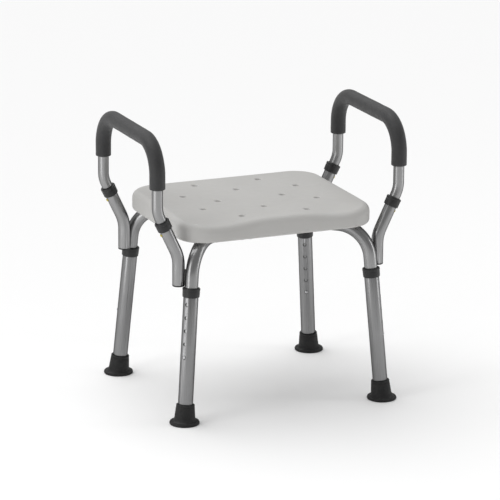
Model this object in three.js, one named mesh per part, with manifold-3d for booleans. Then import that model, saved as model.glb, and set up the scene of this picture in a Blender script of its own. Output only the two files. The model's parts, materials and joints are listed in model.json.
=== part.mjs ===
// Shower stool with two lift-off arms: a blow-moulded seat on a crossed frame of two
// inverted-U aluminium tubes, four height-adjustable legs with rubber feet, and two
// padded arm loops that plug into slanted sockets welded beside the legs.
// Millimetres, +Z up, +X to the sitter's right, -Y is the front. The floor is z = 0.
import * as THREE from "three";
import { mergeVertices } from "three/addons/utils/BufferGeometryUtils.js";
import Module from "manifold-3d";

const wasm = await Module();
wasm.setup();

// ---- driving sizes -------------------------------------------------------------------
const SEAT_WIDTH = 398;
const SEAT_DEPTH = 324;
const SEAT_BOTTOM = 344.5;
const SEAT_THICKNESS = 39.5;
const SEAT_CORNER = 56;
const SEAT_TOP_EDGE = 15;
const SEAT_BOTTOM_EDGE = 8;
const SEAT_WALL = 3;
const SEAT_DISH = 4;
const SCALLOP_DEPTH = 8;
const SCALLOP_WIDTH = 96;
const SCALLOP_PLACE = 124;
const SCALLOP_REACH = 105;
const DRAIN_RADIUS = 3;
const DRAIN_DIMPLE = 6.4;
const DRAIN_DIMPLE_DEPTH = 3;
const DRAIN_INNER = { x: 67.5, y: 117 };
const DRAIN_OUTER = { x: 119, y: 50 };
const DRAIN_MIDDLE = 67.5;
const VENT_RADIUS = 4;
const VENT_PLACE = 112;

const LEG_INSET_X = 13;
const LEG_INSET_Y = 7.5;
const LEG_REFERENCE_DROP = 72;
const LEG_SPLAY = THREE.MathUtils.degToRad(5.68);
const FRAME_OD = 25.4;
const FRAME_WALL = 1.3;
const FRAME_SINK = 2.5;
const FRAME_BEND = 65;
const FRAME_TAIL = 33.6;
const CROSS_BEND = 60;
const CROSS_INNER = 34;
const CROSS_OUTER = 112;
const CROSS_GAP = 0.5;

const LEG_WALL = 1.2;
const LEG_TOP_DROP = 84;
const LEG_HOLE_PITCH = 25.4;
const LEG_HOLE_COUNT = 5;
const LEG_TOP_HOLE_DROP = 27.7;
const LEG_COLLAR_WALL = 2.4;
const LEG_COLLAR_LIP = 3.6;
const LEG_COLLAR_LENGTH = 17.8;

const FOOT_HEIGHT = 38;
const FOOT_WALL = 2.7;
const FOOT_FLARE = 2.4;
const FOOT_SKIRT = 2.5;
const FOOT_FLANGE_REACH = 8.8;
const FOOT_FLANGE_THICKNESS = 6;
const FOOT_SOLE = 12;
const FOOT_CUP_RADIUS = 17;
const FOOT_CUP_DEPTH = 2;

const SOCKET_WALL = 1;
const SOCKET_GAP = 1;
const SOCKET_TURN = THREE.MathUtils.degToRad(76.9);
const SOCKET_UPRIGHT = 53.8;
const SOCKET_BEND = 70;
const SOCKET_SLANT_LENGTH = 78;
const PLUG_FLANGE = 2.4;
const PLUG_DEPTH = 12;
const WEB_HEIGHT = 29.2;
const WEB_RISE = 1;
const WEB_THICKNESS = 7;

const ARM_OD = 21;
const ARM_WALL = 1.2;
const ARM_SLANT = THREE.MathUtils.degToRad(25.7);
const ARM_INSERTION = 52;
const ARM_STRAIGHT = 6.3;
const ARM_RISE = 156;
const ARM_CORNER = 61;
const ARM_KINK_BEND = 55;
const ARM_COLLAR_WALL = 2.6;
const ARM_COLLAR_LENGTH = 18;
const ARM_COLLAR_LIP = 2.6;
const ARM_BUTTON_DROP = 24.8;
const GRIP_WALL = 4.2;
const GRIP_DROP = 85;

const BUTTON_RADIUS = 3.1;
const LEG_BUTTON_PROUD = 1.4;
const ARM_BUTTON_PROUD = 2.2;
const BUTTON_LENGTH = 6;
const LEAF_THICKNESS = 0.7;
const LEAF_WIDTH = 7;
const LEAF_LENGTH = 34;

const SCREW_PLACE = 142;
const SCREW_RADIUS = 2.6;
const SCREW_HEAD_RADIUS = 5.5;
const SCREW_HEAD_HEIGHT = 3.4;
const SCREW_BITE = 10;
const BOLT_RADIUS = 3;
const BOLT_HEAD_RADIUS = 6;
const BOLT_HEAD_HEIGHT = 3.6;
const BOLT_TAIL = 2;
const NUT_HEIGHT = 5;
const EDGE = 0.8; // small chamfer of moulded collars and plugs
const MOUTH_EDGE = 1.2; // larger chamfer round a collar's mouth and a button's tip

// ---- clearances ----------------------------------------------------------------------
const TOUCH = 0.3; // between pieces that touch or are fastened together
const SLIDE = 0.4; // between a leg tube or collar and the tube that slides in it
const ARM_PLAY = 0.3; // between an arm tube and its socket
const HOLE_PLAY = 0.5; // between a button or bolt head and its hole
const PLUG_CLEARANCE = 1.5; // from a leg's collar up to the plug above it

// ---- worked-out sizes ----------------------------------------------------------------
const SEAT_TOP = SEAT_BOTTOM + SEAT_THICKNESS;
const LEG_X = SEAT_WIDTH / 2 - LEG_INSET_X;
const LEG_Y = SEAT_DEPTH / 2 - LEG_INSET_Y;
const LEG_REACH = Math.hypot(LEG_X, LEG_Y);
const LEG_AZIMUTH = Math.atan2(LEG_Y, LEG_X);
const FRAME_RADIUS = FRAME_OD / 2;
const FRAME_RUN_Z = SEAT_BOTTOM - FRAME_SINK;
const LEG_REFERENCE_Z = FRAME_RUN_Z - LEG_REFERENCE_DROP;
const LEG_RADIUS = FRAME_RADIUS + SLIDE + LEG_WALL;
const LEG_TOP_Z = FRAME_RUN_Z - LEG_TOP_DROP;
const LEG_TOP_HOLE_Z = LEG_TOP_Z - LEG_TOP_HOLE_DROP;
const LEG_COLLAR_TOP_Z = LEG_TOP_Z + LEG_COLLAR_LIP;
const LEG_COLLAR_RADIUS = LEG_RADIUS + TOUCH + LEG_COLLAR_WALL;
const FOOT_TOP_RADIUS = LEG_RADIUS + 2 * TOUCH + FOOT_WALL;
const FOOT_WAIST_RADIUS = FOOT_TOP_RADIUS + FOOT_FLARE;
const FOOT_FLANGE_RADIUS = FOOT_WAIST_RADIUS + FOOT_FLANGE_REACH;
const ARM_RADIUS = ARM_OD / 2;
const SOCKET_RADIUS = ARM_RADIUS + ARM_PLAY + SOCKET_WALL;
const SOCKET_BOTTOM_Z = LEG_COLLAR_TOP_Z + PLUG_CLEARANCE + PLUG_FLANGE + TOUCH;
const SOCKET_BEND_Z = SOCKET_BOTTOM_Z + SOCKET_UPRIGHT;
const ARM_TOP_Z = SEAT_TOP + ARM_RISE;
const ARM_KINK_TANGENT = ARM_KINK_BEND * Math.tan(ARM_SLANT / 2);
const ARM_KINK = SOCKET_SLANT_LENGTH + ARM_COLLAR_LIP + ARM_STRAIGHT + ARM_KINK_TANGENT;
const ARM_COLLAR_RADIUS = SOCKET_RADIUS + TOUCH + ARM_COLLAR_WALL;
const GRIP_RADIUS = ARM_RADIUS + TOUCH + GRIP_WALL;
const GRIP_BOTTOM_Z = ARM_TOP_Z - GRIP_DROP;
const ARM_COLLAR_CENTRE = SOCKET_SLANT_LENGTH - ARM_COLLAR_LENGTH / 2 + ARM_COLLAR_LIP;
const ROUND = 16; // sides of a round tube
const LEG_SIDES = 20; // sides of a leg tube and its foot
const STUD_SIDES = 8; // sides of a button, screw or small hole
const WALL_SIDES = 12; // sides of the space that a groove's or boss's wall takes
const DRAIN_SIDES = 8;
const BEND_STEP = THREE.MathUtils.degToRad(18); // turn of each step of a bend

const CORNERS = [
  { name: "front_left", sx: -1, sy: -1, holes: 217 },
  { name: "front_right", sx: 1, sy: -1, holes: 323 },
  { name: "rear_left", sx: -1, sy: 1, holes: 143 },
  { name: "rear_right", sx: 1, sy: 1, holes: 241 },
];

// ---- solids --------------------------------------------------------------------------
function solid(geometry) {
  const bare = geometry.clone();
  bare.deleteAttribute("normal");
  bare.deleteAttribute("uv");
  const merged = mergeVertices(bare, 1e-4);
  return new wasm.Manifold(
    new wasm.Mesh({
      numProp: 3,
      vertProperties: new Float32Array(merged.attributes.position.array),
      triVerts: new Uint32Array(merged.index.array),
    }),
  );
}

function geometryOf(manifold) {
  const mesh = manifold.getMesh();
  const geometry = new THREE.BufferGeometry();
  geometry.setAttribute("position", new THREE.BufferAttribute(mesh.vertProperties, 3));
  geometry.setIndex(new THREE.BufferAttribute(mesh.triVerts, 1));
  return geometry;
}

function vec(x, y, z) {
  return new THREE.Vector3(x, y, z);
}

// A closed rod from one point to another.
function rod(from, to, radius, sides = ROUND) {
  const along = to.clone().sub(from);
  const geometry = new THREE.CylinderGeometry(radius, radius, along.length(), sides);
  const turn = new THREE.Quaternion().setFromUnitVectors(vec(0, 1, 0), along.normalize());
  geometry.applyQuaternion(turn);
  const middle = from.clone().add(to).multiplyScalar(0.5);
  return solid(geometry.translate(middle.x, middle.y, middle.z));
}

// A turned solid: profile points are [radius, height] along the given axis from its base.
function turned(profile, base, axis, sides) {
  const points = profile.map(([r, h]) => new THREE.Vector2(r, h));
  const geometry = new THREE.LatheGeometry(points, sides);
  const turn = new THREE.Quaternion().setFromUnitVectors(vec(0, 1, 0), axis);
  return solid(geometry.applyQuaternion(turn).translate(base.x, base.y, base.z));
}

// A line of straight stretches joined by round bends, stepped once on each stretch.
class BentLine extends THREE.Curve {
  constructor(corners, bends) {
    super();
    this.points = [corners[0]];
    for (let i = 1; i < corners.length - 1; i++) {
      this.addBend(corners[i - 1], corners[i], corners[i + 1], bends[i - 1]);
    }
    this.points.push(corners[corners.length - 1]);
    this.steps = this.points.length - 1;
  }

  addBend(before, corner, after, radius) {
    const back = before.clone().sub(corner).normalize();
    const on = after.clone().sub(corner).normalize();
    const half = back.angleTo(on) / 2;
    const middle = back.clone().add(on).normalize();
    const centre = corner.clone().addScaledVector(middle, radius / Math.sin(half));
    const start = corner.clone().addScaledVector(back, radius / Math.tan(half)).sub(centre);
    const normal = back.clone().cross(on).normalize();
    const turn = Math.PI - 2 * half;
    const steps = Math.max(2, Math.round(turn / BEND_STEP));
    for (let k = 0; k <= steps; k++) {
      const angle = (-turn * k) / steps;
      this.points.push(start.clone().applyAxisAngle(normal, angle).add(centre));
    }
  }

  getPoint(t, target = new THREE.Vector3()) {
    const place = Math.min(t * this.steps, this.steps - 1e-9);
    const i = Math.floor(place);
    return target.lerpVectors(this.points[i], this.points[i + 1], place - i);
  }

  getPointAt(u, target) {
    return this.getPoint(u, target);
  }

  getTangentAt(u, target = new THREE.Vector3()) {
    const i = Math.round(u * this.steps);
    const before = this.points[Math.max(i - 1, 0)];
    const here = this.points[i];
    const after = this.points[Math.min(i + 1, this.steps)];
    const came = here.clone().sub(before).normalize();
    const goes = after.clone().sub(here).normalize();
    return target.copy(came).add(goes).normalize();
  }
}

// A round bar, or a pipe when bore is given, that follows a bent line.
function pipe(line, radius, bore = 0, sides = ROUND) {
  const shape = new THREE.Shape().absarc(0, 0, radius, 0, 2 * Math.PI, false);
  if (bore) shape.holes.push(new THREE.Path().absarc(0, 0, bore, 0, 2 * Math.PI, true));
  const options = { steps: line.steps, curveSegments: sides / 2, bevelEnabled: false };
  return solid(new THREE.ExtrudeGeometry(shape, { ...options, extrudePath: line }));
}

// ---- places --------------------------------------------------------------------------
// A point on a leg's axis at height z, for the corner's side of the frame.
function onLeg(corner, z) {
  const reach = LEG_REACH + (LEG_REFERENCE_Z - z) * Math.tan(LEG_SPLAY);
  const x = reach * Math.cos(LEG_AZIMUTH) * corner.sx;
  return vec(x, reach * Math.sin(LEG_AZIMUTH) * corner.sy, z);
}

function legUp(corner) {
  return onLeg(corner, 1).sub(onLeg(corner, 0)).normalize();
}

// A frame tube runs on inside the leg, past the lowest hole where the button sits.
function frameEnd(corner) {
  const lowest = LEG_TOP_HOLE_Z - (LEG_HOLE_COUNT - 1) * LEG_HOLE_PITCH * Math.cos(LEG_SPLAY);
  return onLeg(corner, lowest - FRAME_TAIL);
}

// The way a leg's row of holes faces, square to the leg.
function holeWay(corner) {
  const angle = THREE.MathUtils.degToRad(corner.holes);
  const way = vec(Math.cos(angle), Math.sin(angle), 0);
  const up = legUp(corner);
  return way.addScaledVector(up, -way.dot(up)).normalize();
}

function legHoles(corner) {
  const up = legUp(corner);
  const top = onLeg(corner, LEG_TOP_HOLE_Z);
  const places = [];
  for (let i = 0; i < LEG_HOLE_COUNT; i++) {
    places.push(top.clone().addScaledVector(up, -i * LEG_HOLE_PITCH));
  }
  return places;
}

// The arm sockets stand beside the legs, turned from them towards the seat's middle line.
function socketFoot(corner) {
  const beside = FRAME_RADIUS + SOCKET_RADIUS + SOCKET_GAP;
  const leg = onLeg({ sx: 1, sy: 1 }, SOCKET_BOTTOM_Z);
  const x = leg.x + beside * Math.cos(LEG_AZIMUTH - SOCKET_TURN);
  const y = leg.y + beside * Math.sin(LEG_AZIMUTH - SOCKET_TURN);
  return vec(x * corner.sx, y * corner.sy, SOCKET_BOTTOM_Z);
}

function slantWay(corner) {
  return vec(Math.sin(ARM_SLANT) * corner.sx, 0, Math.cos(ARM_SLANT));
}

// A point on the slanted stretch of a socket, at a distance from its bend's corner.
function onSlant(corner, distance) {
  const foot = socketFoot(corner);
  return vec(foot.x, foot.y, SOCKET_BEND_Z).addScaledVector(slantWay(corner), distance);
}

// The arm buttons face outboard, square to the slanted tube.
function armButtonWay(corner) {
  return vec(Math.cos(ARM_SLANT) * corner.sx, 0, -Math.sin(ARM_SLANT));
}

function armButtonPlace(corner) {
  return onSlant(corner, ARM_COLLAR_CENTRE + ARM_COLLAR_LENGTH / 2 - ARM_BUTTON_DROP);
}

// ---- bent lines ----------------------------------------------------------------------
function frameLine(corner, dips) {
  const other = { sx: -corner.sx, sy: -corner.sy };
  const way = onLeg(corner, FRAME_RUN_Z).setZ(0).normalize();
  const low = FRAME_RUN_Z - FRAME_OD - CROSS_GAP;
  const run = (s, z) => way.clone().multiplyScalar(s).setZ(z);
  const dip = [
    run(CROSS_OUTER, FRAME_RUN_Z),
    run(CROSS_INNER, low),
    run(-CROSS_INNER, low),
    run(-CROSS_OUTER, FRAME_RUN_Z),
  ];
  const corners = [
    frameEnd(corner),
    onLeg(corner, FRAME_RUN_Z),
    ...(dips ? dip : []),
    onLeg(other, FRAME_RUN_Z),
    frameEnd(other),
  ];
  const inner = dips ? dip.map(() => CROSS_BEND) : [];
  return new BentLine(corners, [FRAME_BEND, ...inner, FRAME_BEND]);
}

function socketLine(corner) {
  const foot = socketFoot(corner);
  const bend = vec(foot.x, foot.y, SOCKET_BEND_Z);
  return new BentLine([foot, bend, onSlant(corner, SOCKET_SLANT_LENGTH)], [SOCKET_BEND]);
}

function armCorners(sx) {
  const front = { sx, sy: -1 };
  const rear = { sx, sy: 1 };
  const start = SOCKET_SLANT_LENGTH - ARM_INSERTION;
  const kink = [onSlant(front, ARM_KINK), onSlant(rear, ARM_KINK)];
  return {
    start: [onSlant(front, start), onSlant(rear, start)],
    kink,
    top: kink.map((p) => p.clone().setZ(ARM_TOP_Z)),
  };
}

function armLine(sx) {
  const { start, kink, top } = armCorners(sx);
  const corners = [start[0], kink[0], top[0], top[1], kink[1], start[1]];
  return new BentLine(corners, [ARM_KINK_BEND, ARM_CORNER, ARM_CORNER, ARM_KINK_BEND]);
}

function gripLine(sx) {
  const { top } = armCorners(sx);
  const ends = top.map((p) => p.clone().setZ(GRIP_BOTTOM_Z));
  return new BentLine([ends[0], top[0], top[1], ends[1]], [ARM_CORNER, ARM_CORNER]);
}

const FRAME_LINES = [frameLine(CORNERS[1], false), frameLine(CORNERS[0], true)];

// ---- seat ----------------------------------------------------------------------------
// Height of the seat's top: a shallow dish with two thigh scallops along the front.
function seatTop(x, y) {
  const across = Math.cos((Math.PI * x) / SEAT_WIDTH);
  const deep = Math.cos((Math.PI * y) / SEAT_DEPTH);
  const dish = SEAT_DISH * Math.max(0, across) * Math.max(0, deep);
  const from = Math.min(1, Math.abs(Math.abs(x) - SCALLOP_PLACE) / SCALLOP_WIDTH);
  const back = Math.min(1, (y + SEAT_DEPTH / 2) / SCALLOP_REACH);
  const fade = (1 + Math.cos(Math.PI * back)) / 2;
  const scallop = (SCALLOP_DEPTH * fade * (1 + Math.cos(Math.PI * from))) / 2;
  return SEAT_TOP - dish - scallop;
}

// A rounded rectangle's outline, pulled in by inset, as a loop of points.
function seatLoop(inset, arcSteps = 5) {
  const radius = Math.max(SEAT_CORNER - inset, 4);
  const cx = SEAT_WIDTH / 2 - inset - radius;
  const cy = SEAT_DEPTH / 2 - inset - radius;
  const side = 6;
  const loop = [];
  for (const [sx, sy, turn] of [[1, 1, 0], [-1, 1, 1], [-1, -1, 2], [1, -1, 3]]) {
    for (let k = 0; k <= arcSteps; k++) {
      const angle = (Math.PI / 2) * (turn + k / arcSteps);
      loop.push([sx * cx + radius * Math.cos(angle), sy * cy + radius * Math.sin(angle)]);
    }
    const [x, y] = loop[loop.length - 1];
    const next = turn % 2 ? [x, -y] : [-x, y];
    for (let k = 1; k < side; k++) {
      loop.push([x + ((next[0] - x) * k) / side, y + ((next[1] - y) * k) / side]);
    }
  }
  return loop;
}

// The seat's closed body, or with a shrink, the space inside its wall.
function seatBody(shrink) {
  const topEdge = SEAT_TOP_EDGE - shrink;
  const bottomEdge = SEAT_BOTTOM_EDGE - shrink;
  const bottom = SEAT_BOTTOM + shrink;
  const rings = [];
  for (const angle of [0, 30, 60, 90].map(THREE.MathUtils.degToRad)) {
    const loop = seatLoop(shrink + bottomEdge * (1 - Math.sin(angle)));
    rings.push(loop.map(([x, y]) => [x, y, bottom + bottomEdge * (1 - Math.cos(angle))]));
  }
  for (const angle of [0, 22.5, 45, 67.5, 90].map(THREE.MathUtils.degToRad)) {
    const loop = seatLoop(shrink + topEdge * (1 - Math.cos(angle)));
    const drop = shrink + topEdge * (1 - Math.sin(angle));
    rings.push(loop.map(([x, y]) => [x, y, seatTop(x, y) - drop]));
  }
  const flat = seatLoop(shrink + topEdge);
  for (const share of [0.85, 0.68, 0.48, 0.25]) {
    const loop = flat.map(([x, y]) => [x * share, y * share]);
    rings.push(loop.map(([x, y]) => [x, y, seatTop(x, y) - shrink]));
  }
  return closedRings(rings, [0, 0, bottom], [0, 0, seatTop(0, 0) - shrink]);
}

// A closed solid through a stack of rings, from its bottom point to its top point.
function closedRings(rings, low, high) {
  const count = rings[0].length;
  const positions = [low, ...rings.flat(), high].flat();
  const last = positions.length / 3 - 1;
  const index = [];
  for (let i = 0; i < count; i++) {
    const j = (i + 1) % count;
    index.push(0, 1 + j, 1 + i);
    for (let r = 0; r < rings.length - 1; r++) {
      const a = 1 + r * count;
      const b = a + count;
      index.push(a + i, a + j, b + j, a + i, b + j, b + i);
    }
    const top = 1 + (rings.length - 1) * count;
    index.push(top + i, top + j, last);
  }
  const geometry = new THREE.BufferGeometry();
  geometry.setAttribute("position", new THREE.Float32BufferAttribute(positions, 3));
  geometry.setIndex(index);
  return solid(geometry);
}

function drainPlaces() {
  const places = [[0, DRAIN_MIDDLE], [0, -DRAIN_MIDDLE]];
  for (const sx of [-1, 1]) {
    places.push([sx * DRAIN_INNER.x, 0]);
    for (const sy of [-1, 1]) {
      places.push([sx * DRAIN_INNER.x, sy * DRAIN_INNER.y]);
      places.push([sx * DRAIN_OUTER.x, sy * DRAIN_OUTER.y]);
    }
  }
  return places;
}

// A drain hole with its dimple, or with a wall, the pillar that surrounds it.
function drain([x, y], wall) {
  const top = seatTop(x, y);
  const profile = [
    [0, SEAT_BOTTOM - 5],
    [DRAIN_RADIUS + wall, SEAT_BOTTOM - 5],
    [DRAIN_RADIUS + wall, top - DRAIN_DIMPLE_DEPTH - wall],
    [DRAIN_DIMPLE + wall, top - wall],
    [DRAIN_DIMPLE + wall, top + 5],
    [0, top + 5],
  ];
  return turned(profile, vec(x, y, 0), vec(0, 0, 1), DRAIN_SIDES);
}

function screwPlaces() {
  const places = [];
  for (const corner of CORNERS) {
    const way = onLeg(corner, FRAME_RUN_Z).setZ(0).normalize();
    const place = way.multiplyScalar(SCREW_PLACE).setZ(FRAME_RUN_Z);
    places.push({ name: corner.name, place });
  }
  return places;
}

function upBy(point, height) {
  return point.clone().setZ(point.z + height);
}

function seat() {
  const frameRoom = FRAME_RADIUS + TOUCH;
  const bite = FRAME_RADIUS + SCREW_BITE;
  const centre = vec(0, 0, FRAME_RUN_Z);
  const headRoom = FRAME_RADIUS + BOLT_HEAD_HEIGHT + 2 * TOUCH;
  const headRadius = BOLT_HEAD_RADIUS + HOLE_PLAY;
  let cavity = seatBody(SEAT_WALL);
  for (const place of drainPlaces()) cavity = cavity.subtract(drain(place, SEAT_WALL));
  for (const line of FRAME_LINES) {
    cavity = cavity.subtract(pipe(line, frameRoom + SEAT_WALL, 0, WALL_SIDES));
  }
  for (const { place } of screwPlaces()) {
    const boss = SCREW_RADIUS + 2 * SEAT_WALL;
    cavity = cavity.subtract(rod(place, upBy(place, bite + SEAT_WALL), boss, WALL_SIDES));
  }
  const domeTop = upBy(centre, headRoom + SEAT_WALL);
  cavity = cavity.subtract(rod(centre, domeTop, headRadius + SEAT_WALL, WALL_SIDES));
  let body = seatBody(0).subtract(cavity);
  for (const place of drainPlaces()) body = body.subtract(drain(place, 0));
  for (const line of FRAME_LINES) body = body.subtract(pipe(line, frameRoom));
  for (const { place } of screwPlaces()) {
    const hole = rod(place, upBy(place, bite + TOUCH), SCREW_RADIUS + TOUCH, STUD_SIDES);
    body = body.subtract(hole);
  }
  body = body.subtract(rod(upBy(centre, -FRAME_OD), upBy(centre, headRoom), headRadius));
  const vent = vec(0, -VENT_PLACE, SEAT_BOTTOM - SEAT_WALL);
  return body.subtract(rod(vent, upBy(vent, 3 * SEAT_WALL), VENT_RADIUS, STUD_SIDES));
}

// ---- frame ---------------------------------------------------------------------------
function buttonHole(place, way, reach) {
  const radius = BUTTON_RADIUS + HOLE_PLAY;
  return rod(place, place.clone().addScaledVector(way, reach), radius, STUD_SIDES);
}

function frameTube(line, corners) {
  let body = pipe(line, FRAME_RADIUS, FRAME_RADIUS - FRAME_WALL);
  for (const corner of corners) {
    const place = legHoles(corner)[LEG_HOLE_COUNT - 1];
    body = body.subtract(buttonHole(place, holeWay(corner), FRAME_OD));
    const screw = screwPlaces().find(({ name }) => name === corner.name).place;
    const reach = FRAME_OD;
    const hole = rod(upBy(screw, -reach), upBy(screw, reach), SCREW_RADIUS + TOUCH, STUD_SIDES);
    body = body.subtract(hole);
  }
  const reach = 3 * FRAME_OD;
  const centre = vec(0, 0, FRAME_RUN_Z);
  const hole = rod(upBy(centre, -reach), upBy(centre, reach), BOLT_RADIUS + TOUCH, STUD_SIDES);
  return body.subtract(hole);
}

function seatScrew(place) {
  const headTop = -FRAME_RADIUS - TOUCH;
  const shank = headTop + FRAME_OD + TOUCH + SCREW_BITE;
  const profile = [
    [0, headTop - SCREW_HEAD_HEIGHT],
    [SCREW_HEAD_RADIUS * 0.7, headTop - SCREW_HEAD_HEIGHT],
    [SCREW_HEAD_RADIUS, headTop - SCREW_HEAD_HEIGHT * 0.5],
    [SCREW_HEAD_RADIUS, headTop],
    [SCREW_RADIUS, headTop],
    [SCREW_RADIUS, shank - 2 * TOUCH],
    [0, shank - TOUCH],
  ];
  return turned(profile, place, vec(0, 0, 1), STUD_SIDES);
}

function crossBolt() {
  const top = FRAME_RADIUS + TOUCH;
  const end = -FRAME_RADIUS - CROSS_GAP - FRAME_OD - TOUCH - NUT_HEIGHT - BOLT_TAIL;
  const profile = [
    [0, end],
    [BOLT_RADIUS, end],
    [BOLT_RADIUS, top],
    [BOLT_HEAD_RADIUS, top],
    [BOLT_HEAD_RADIUS, top + BOLT_HEAD_HEIGHT * 0.6],
    [BOLT_HEAD_RADIUS * 0.6, top + BOLT_HEAD_HEIGHT],
    [0, top + BOLT_HEAD_HEIGHT],
  ];
  return turned(profile, vec(0, 0, FRAME_RUN_Z), vec(0, 0, 1), STUD_SIDES);
}

function crossNut() {
  const top = FRAME_RUN_Z - FRAME_RADIUS - CROSS_GAP - FRAME_OD - TOUCH;
  const body = rod(vec(0, 0, top - NUT_HEIGHT), vec(0, 0, top), BOLT_HEAD_RADIUS, 6);
  const bore = BOLT_RADIUS + TOUCH;
  const hole = rod(vec(0, 0, top - 2 * NUT_HEIGHT), vec(0, 0, top + 1), bore, STUD_SIDES);
  return body.subtract(hole);
}

// ---- arm sockets ---------------------------------------------------------------------
function armSocket(corner) {
  const body = pipe(socketLine(corner), SOCKET_RADIUS, SOCKET_RADIUS - SOCKET_WALL);
  return body.subtract(buttonHole(armButtonPlace(corner), armButtonWay(corner), 2 * SOCKET_RADIUS));
}

function socketPlug(corner) {
  const bore = SOCKET_RADIUS - SOCKET_WALL - TOUCH;
  const profile = [
    [0, -TOUCH - PLUG_FLANGE],
    [SOCKET_RADIUS - EDGE, -TOUCH - PLUG_FLANGE],
    [SOCKET_RADIUS, -TOUCH - PLUG_FLANGE + EDGE],
    [SOCKET_RADIUS, -TOUCH],
    [bore, -TOUCH],
    [bore, PLUG_DEPTH],
    [0, PLUG_DEPTH],
  ];
  return turned(profile, socketFoot(corner), vec(0, 0, 1), ROUND);
}

// The weld web fills the gap between a leg of the frame and the socket beside it.
function socketWeb(corner, line) {
  const foot = socketFoot(corner);
  const leg = onLeg(corner, SOCKET_BOTTOM_Z);
  const width = FRAME_RADIUS + SOCKET_RADIUS;
  const geometry = new THREE.BoxGeometry(width, WEB_THICKNESS, WEB_HEIGHT);
  geometry.rotateZ(Math.atan2(foot.y - leg.y, foot.x - leg.x));
  const share = FRAME_RADIUS / (FRAME_RADIUS + SOCKET_RADIUS);
  const middle = leg.clone().lerp(foot, share);
  geometry.translate(middle.x, middle.y, SOCKET_BOTTOM_Z + WEB_RISE + WEB_HEIGHT / 2);
  const clearOfFrame = solid(geometry).subtract(pipe(line, FRAME_RADIUS + TOUCH));
  return clearOfFrame.subtract(pipe(socketLine(corner), SOCKET_RADIUS + TOUCH));
}

// A collar pressed over a tube's end, with a lip that the inner tube slides through.
function collar(base, way, length, outer, tube, inner, lip) {
  const flats = Math.cos(Math.PI / ROUND);
  const bore = (tube + TOUCH) / flats;
  const mouth = (inner + SLIDE) / flats;
  const profile = [
    [bore, 0],
    [outer - EDGE, 0],
    [outer, EDGE],
    [outer, length - MOUTH_EDGE],
    [outer - MOUTH_EDGE, length],
    [mouth, length],
    [mouth, length - lip],
    [bore, length - lip],
    [bore, 0],
  ];
  return turned(profile, base, way, ROUND);
}

function armCollar(corner) {
  const base = onSlant(corner, ARM_COLLAR_CENTRE - ARM_COLLAR_LENGTH / 2);
  const lip = ARM_COLLAR_LIP - TOUCH;
  const way = slantWay(corner);
  const sizes = [ARM_COLLAR_LENGTH, ARM_COLLAR_RADIUS, SOCKET_RADIUS, ARM_RADIUS, lip];
  return collar(base, way, ...sizes);
}

// ---- arms ----------------------------------------------------------------------------
function armTube(sx) {
  let body = pipe(armLine(sx), ARM_RADIUS, ARM_RADIUS - ARM_WALL);
  for (const corner of CORNERS.filter((c) => c.sx === sx)) {
    body = body.subtract(buttonHole(armButtonPlace(corner), armButtonWay(corner), ARM_OD));
  }
  return body;
}

function armGrip(sx) {
  return pipe(gripLine(sx), GRIP_RADIUS, ARM_RADIUS + TOUCH);
}

// ---- legs ----------------------------------------------------------------------------
function legTube(corner) {
  const line = new BentLine([onLeg(corner, FOOT_SOLE + 1), onLeg(corner, LEG_TOP_Z)], []);
  let body = pipe(line, LEG_RADIUS, LEG_RADIUS - LEG_WALL, LEG_SIDES);
  for (const place of legHoles(corner)) {
    body = body.subtract(buttonHole(place, holeWay(corner), 2 * LEG_RADIUS));
  }
  return body;
}

function legCollar(corner) {
  const up = legUp(corner);
  const base = onLeg(corner, LEG_COLLAR_TOP_Z).addScaledVector(up, -LEG_COLLAR_LENGTH);
  const lip = (LEG_COLLAR_TOP_Z - LEG_TOP_Z) / up.z - TOUCH;
  const sizes = [LEG_COLLAR_LENGTH, LEG_COLLAR_RADIUS, LEG_RADIUS, FRAME_RADIUS, lip];
  return collar(base, up, ...sizes);
}

function foot(corner) {
  const up = legUp(corner);
  const ground = onLeg(corner, 0);
  const boot = [
    [0, FOOT_FLANGE_THICKNESS * 0.6],
    [FOOT_WAIST_RADIUS + FOOT_SKIRT, FOOT_FLANGE_THICKNESS * 0.6],
    [FOOT_WAIST_RADIUS, FOOT_FLANGE_THICKNESS + 4],
    [FOOT_TOP_RADIUS + 0.6, FOOT_HEIGHT - 5],
    [FOOT_TOP_RADIUS, FOOT_HEIGHT - 1],
    [FOOT_TOP_RADIUS - 1, FOOT_HEIGHT],
    [0, FOOT_HEIGHT],
  ];
  const flange = [
    [0, FOOT_CUP_DEPTH],
    [FOOT_CUP_RADIUS - 3, FOOT_CUP_DEPTH],
    [FOOT_CUP_RADIUS, 0],
    [FOOT_FLANGE_RADIUS - 1.5, 0],
    [FOOT_FLANGE_RADIUS, 1.5],
    [FOOT_FLANGE_RADIUS, FOOT_FLANGE_THICKNESS - 1.8],
    [FOOT_FLANGE_RADIUS - 2, FOOT_FLANGE_THICKNESS],
    [0, FOOT_FLANGE_THICKNESS + 2],
  ];
  const upright = turned(flange, ground, vec(0, 0, 1), LEG_SIDES);
  const seatOfTube = onLeg(corner, FOOT_SOLE);
  const above = onLeg(corner, FOOT_HEIGHT + LEG_RADIUS);
  const body = turned(boot, ground, up, LEG_SIDES).add(upright);
  return body.subtract(rod(seatOfTube, above, LEG_RADIUS + 2 * TOUCH, LEG_SIDES));
}

// ---- snap buttons --------------------------------------------------------------------
function button(place, way, tip) {
  const base = tip - BUTTON_LENGTH;
  const profile = [
    [0, base],
    [BUTTON_RADIUS, base],
    [BUTTON_RADIUS, tip - MOUTH_EDGE],
    [BUTTON_RADIUS * 0.7, tip - 0.3],
    [0, tip],
  ];
  return turned(profile, place, way, STUD_SIDES);
}

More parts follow.
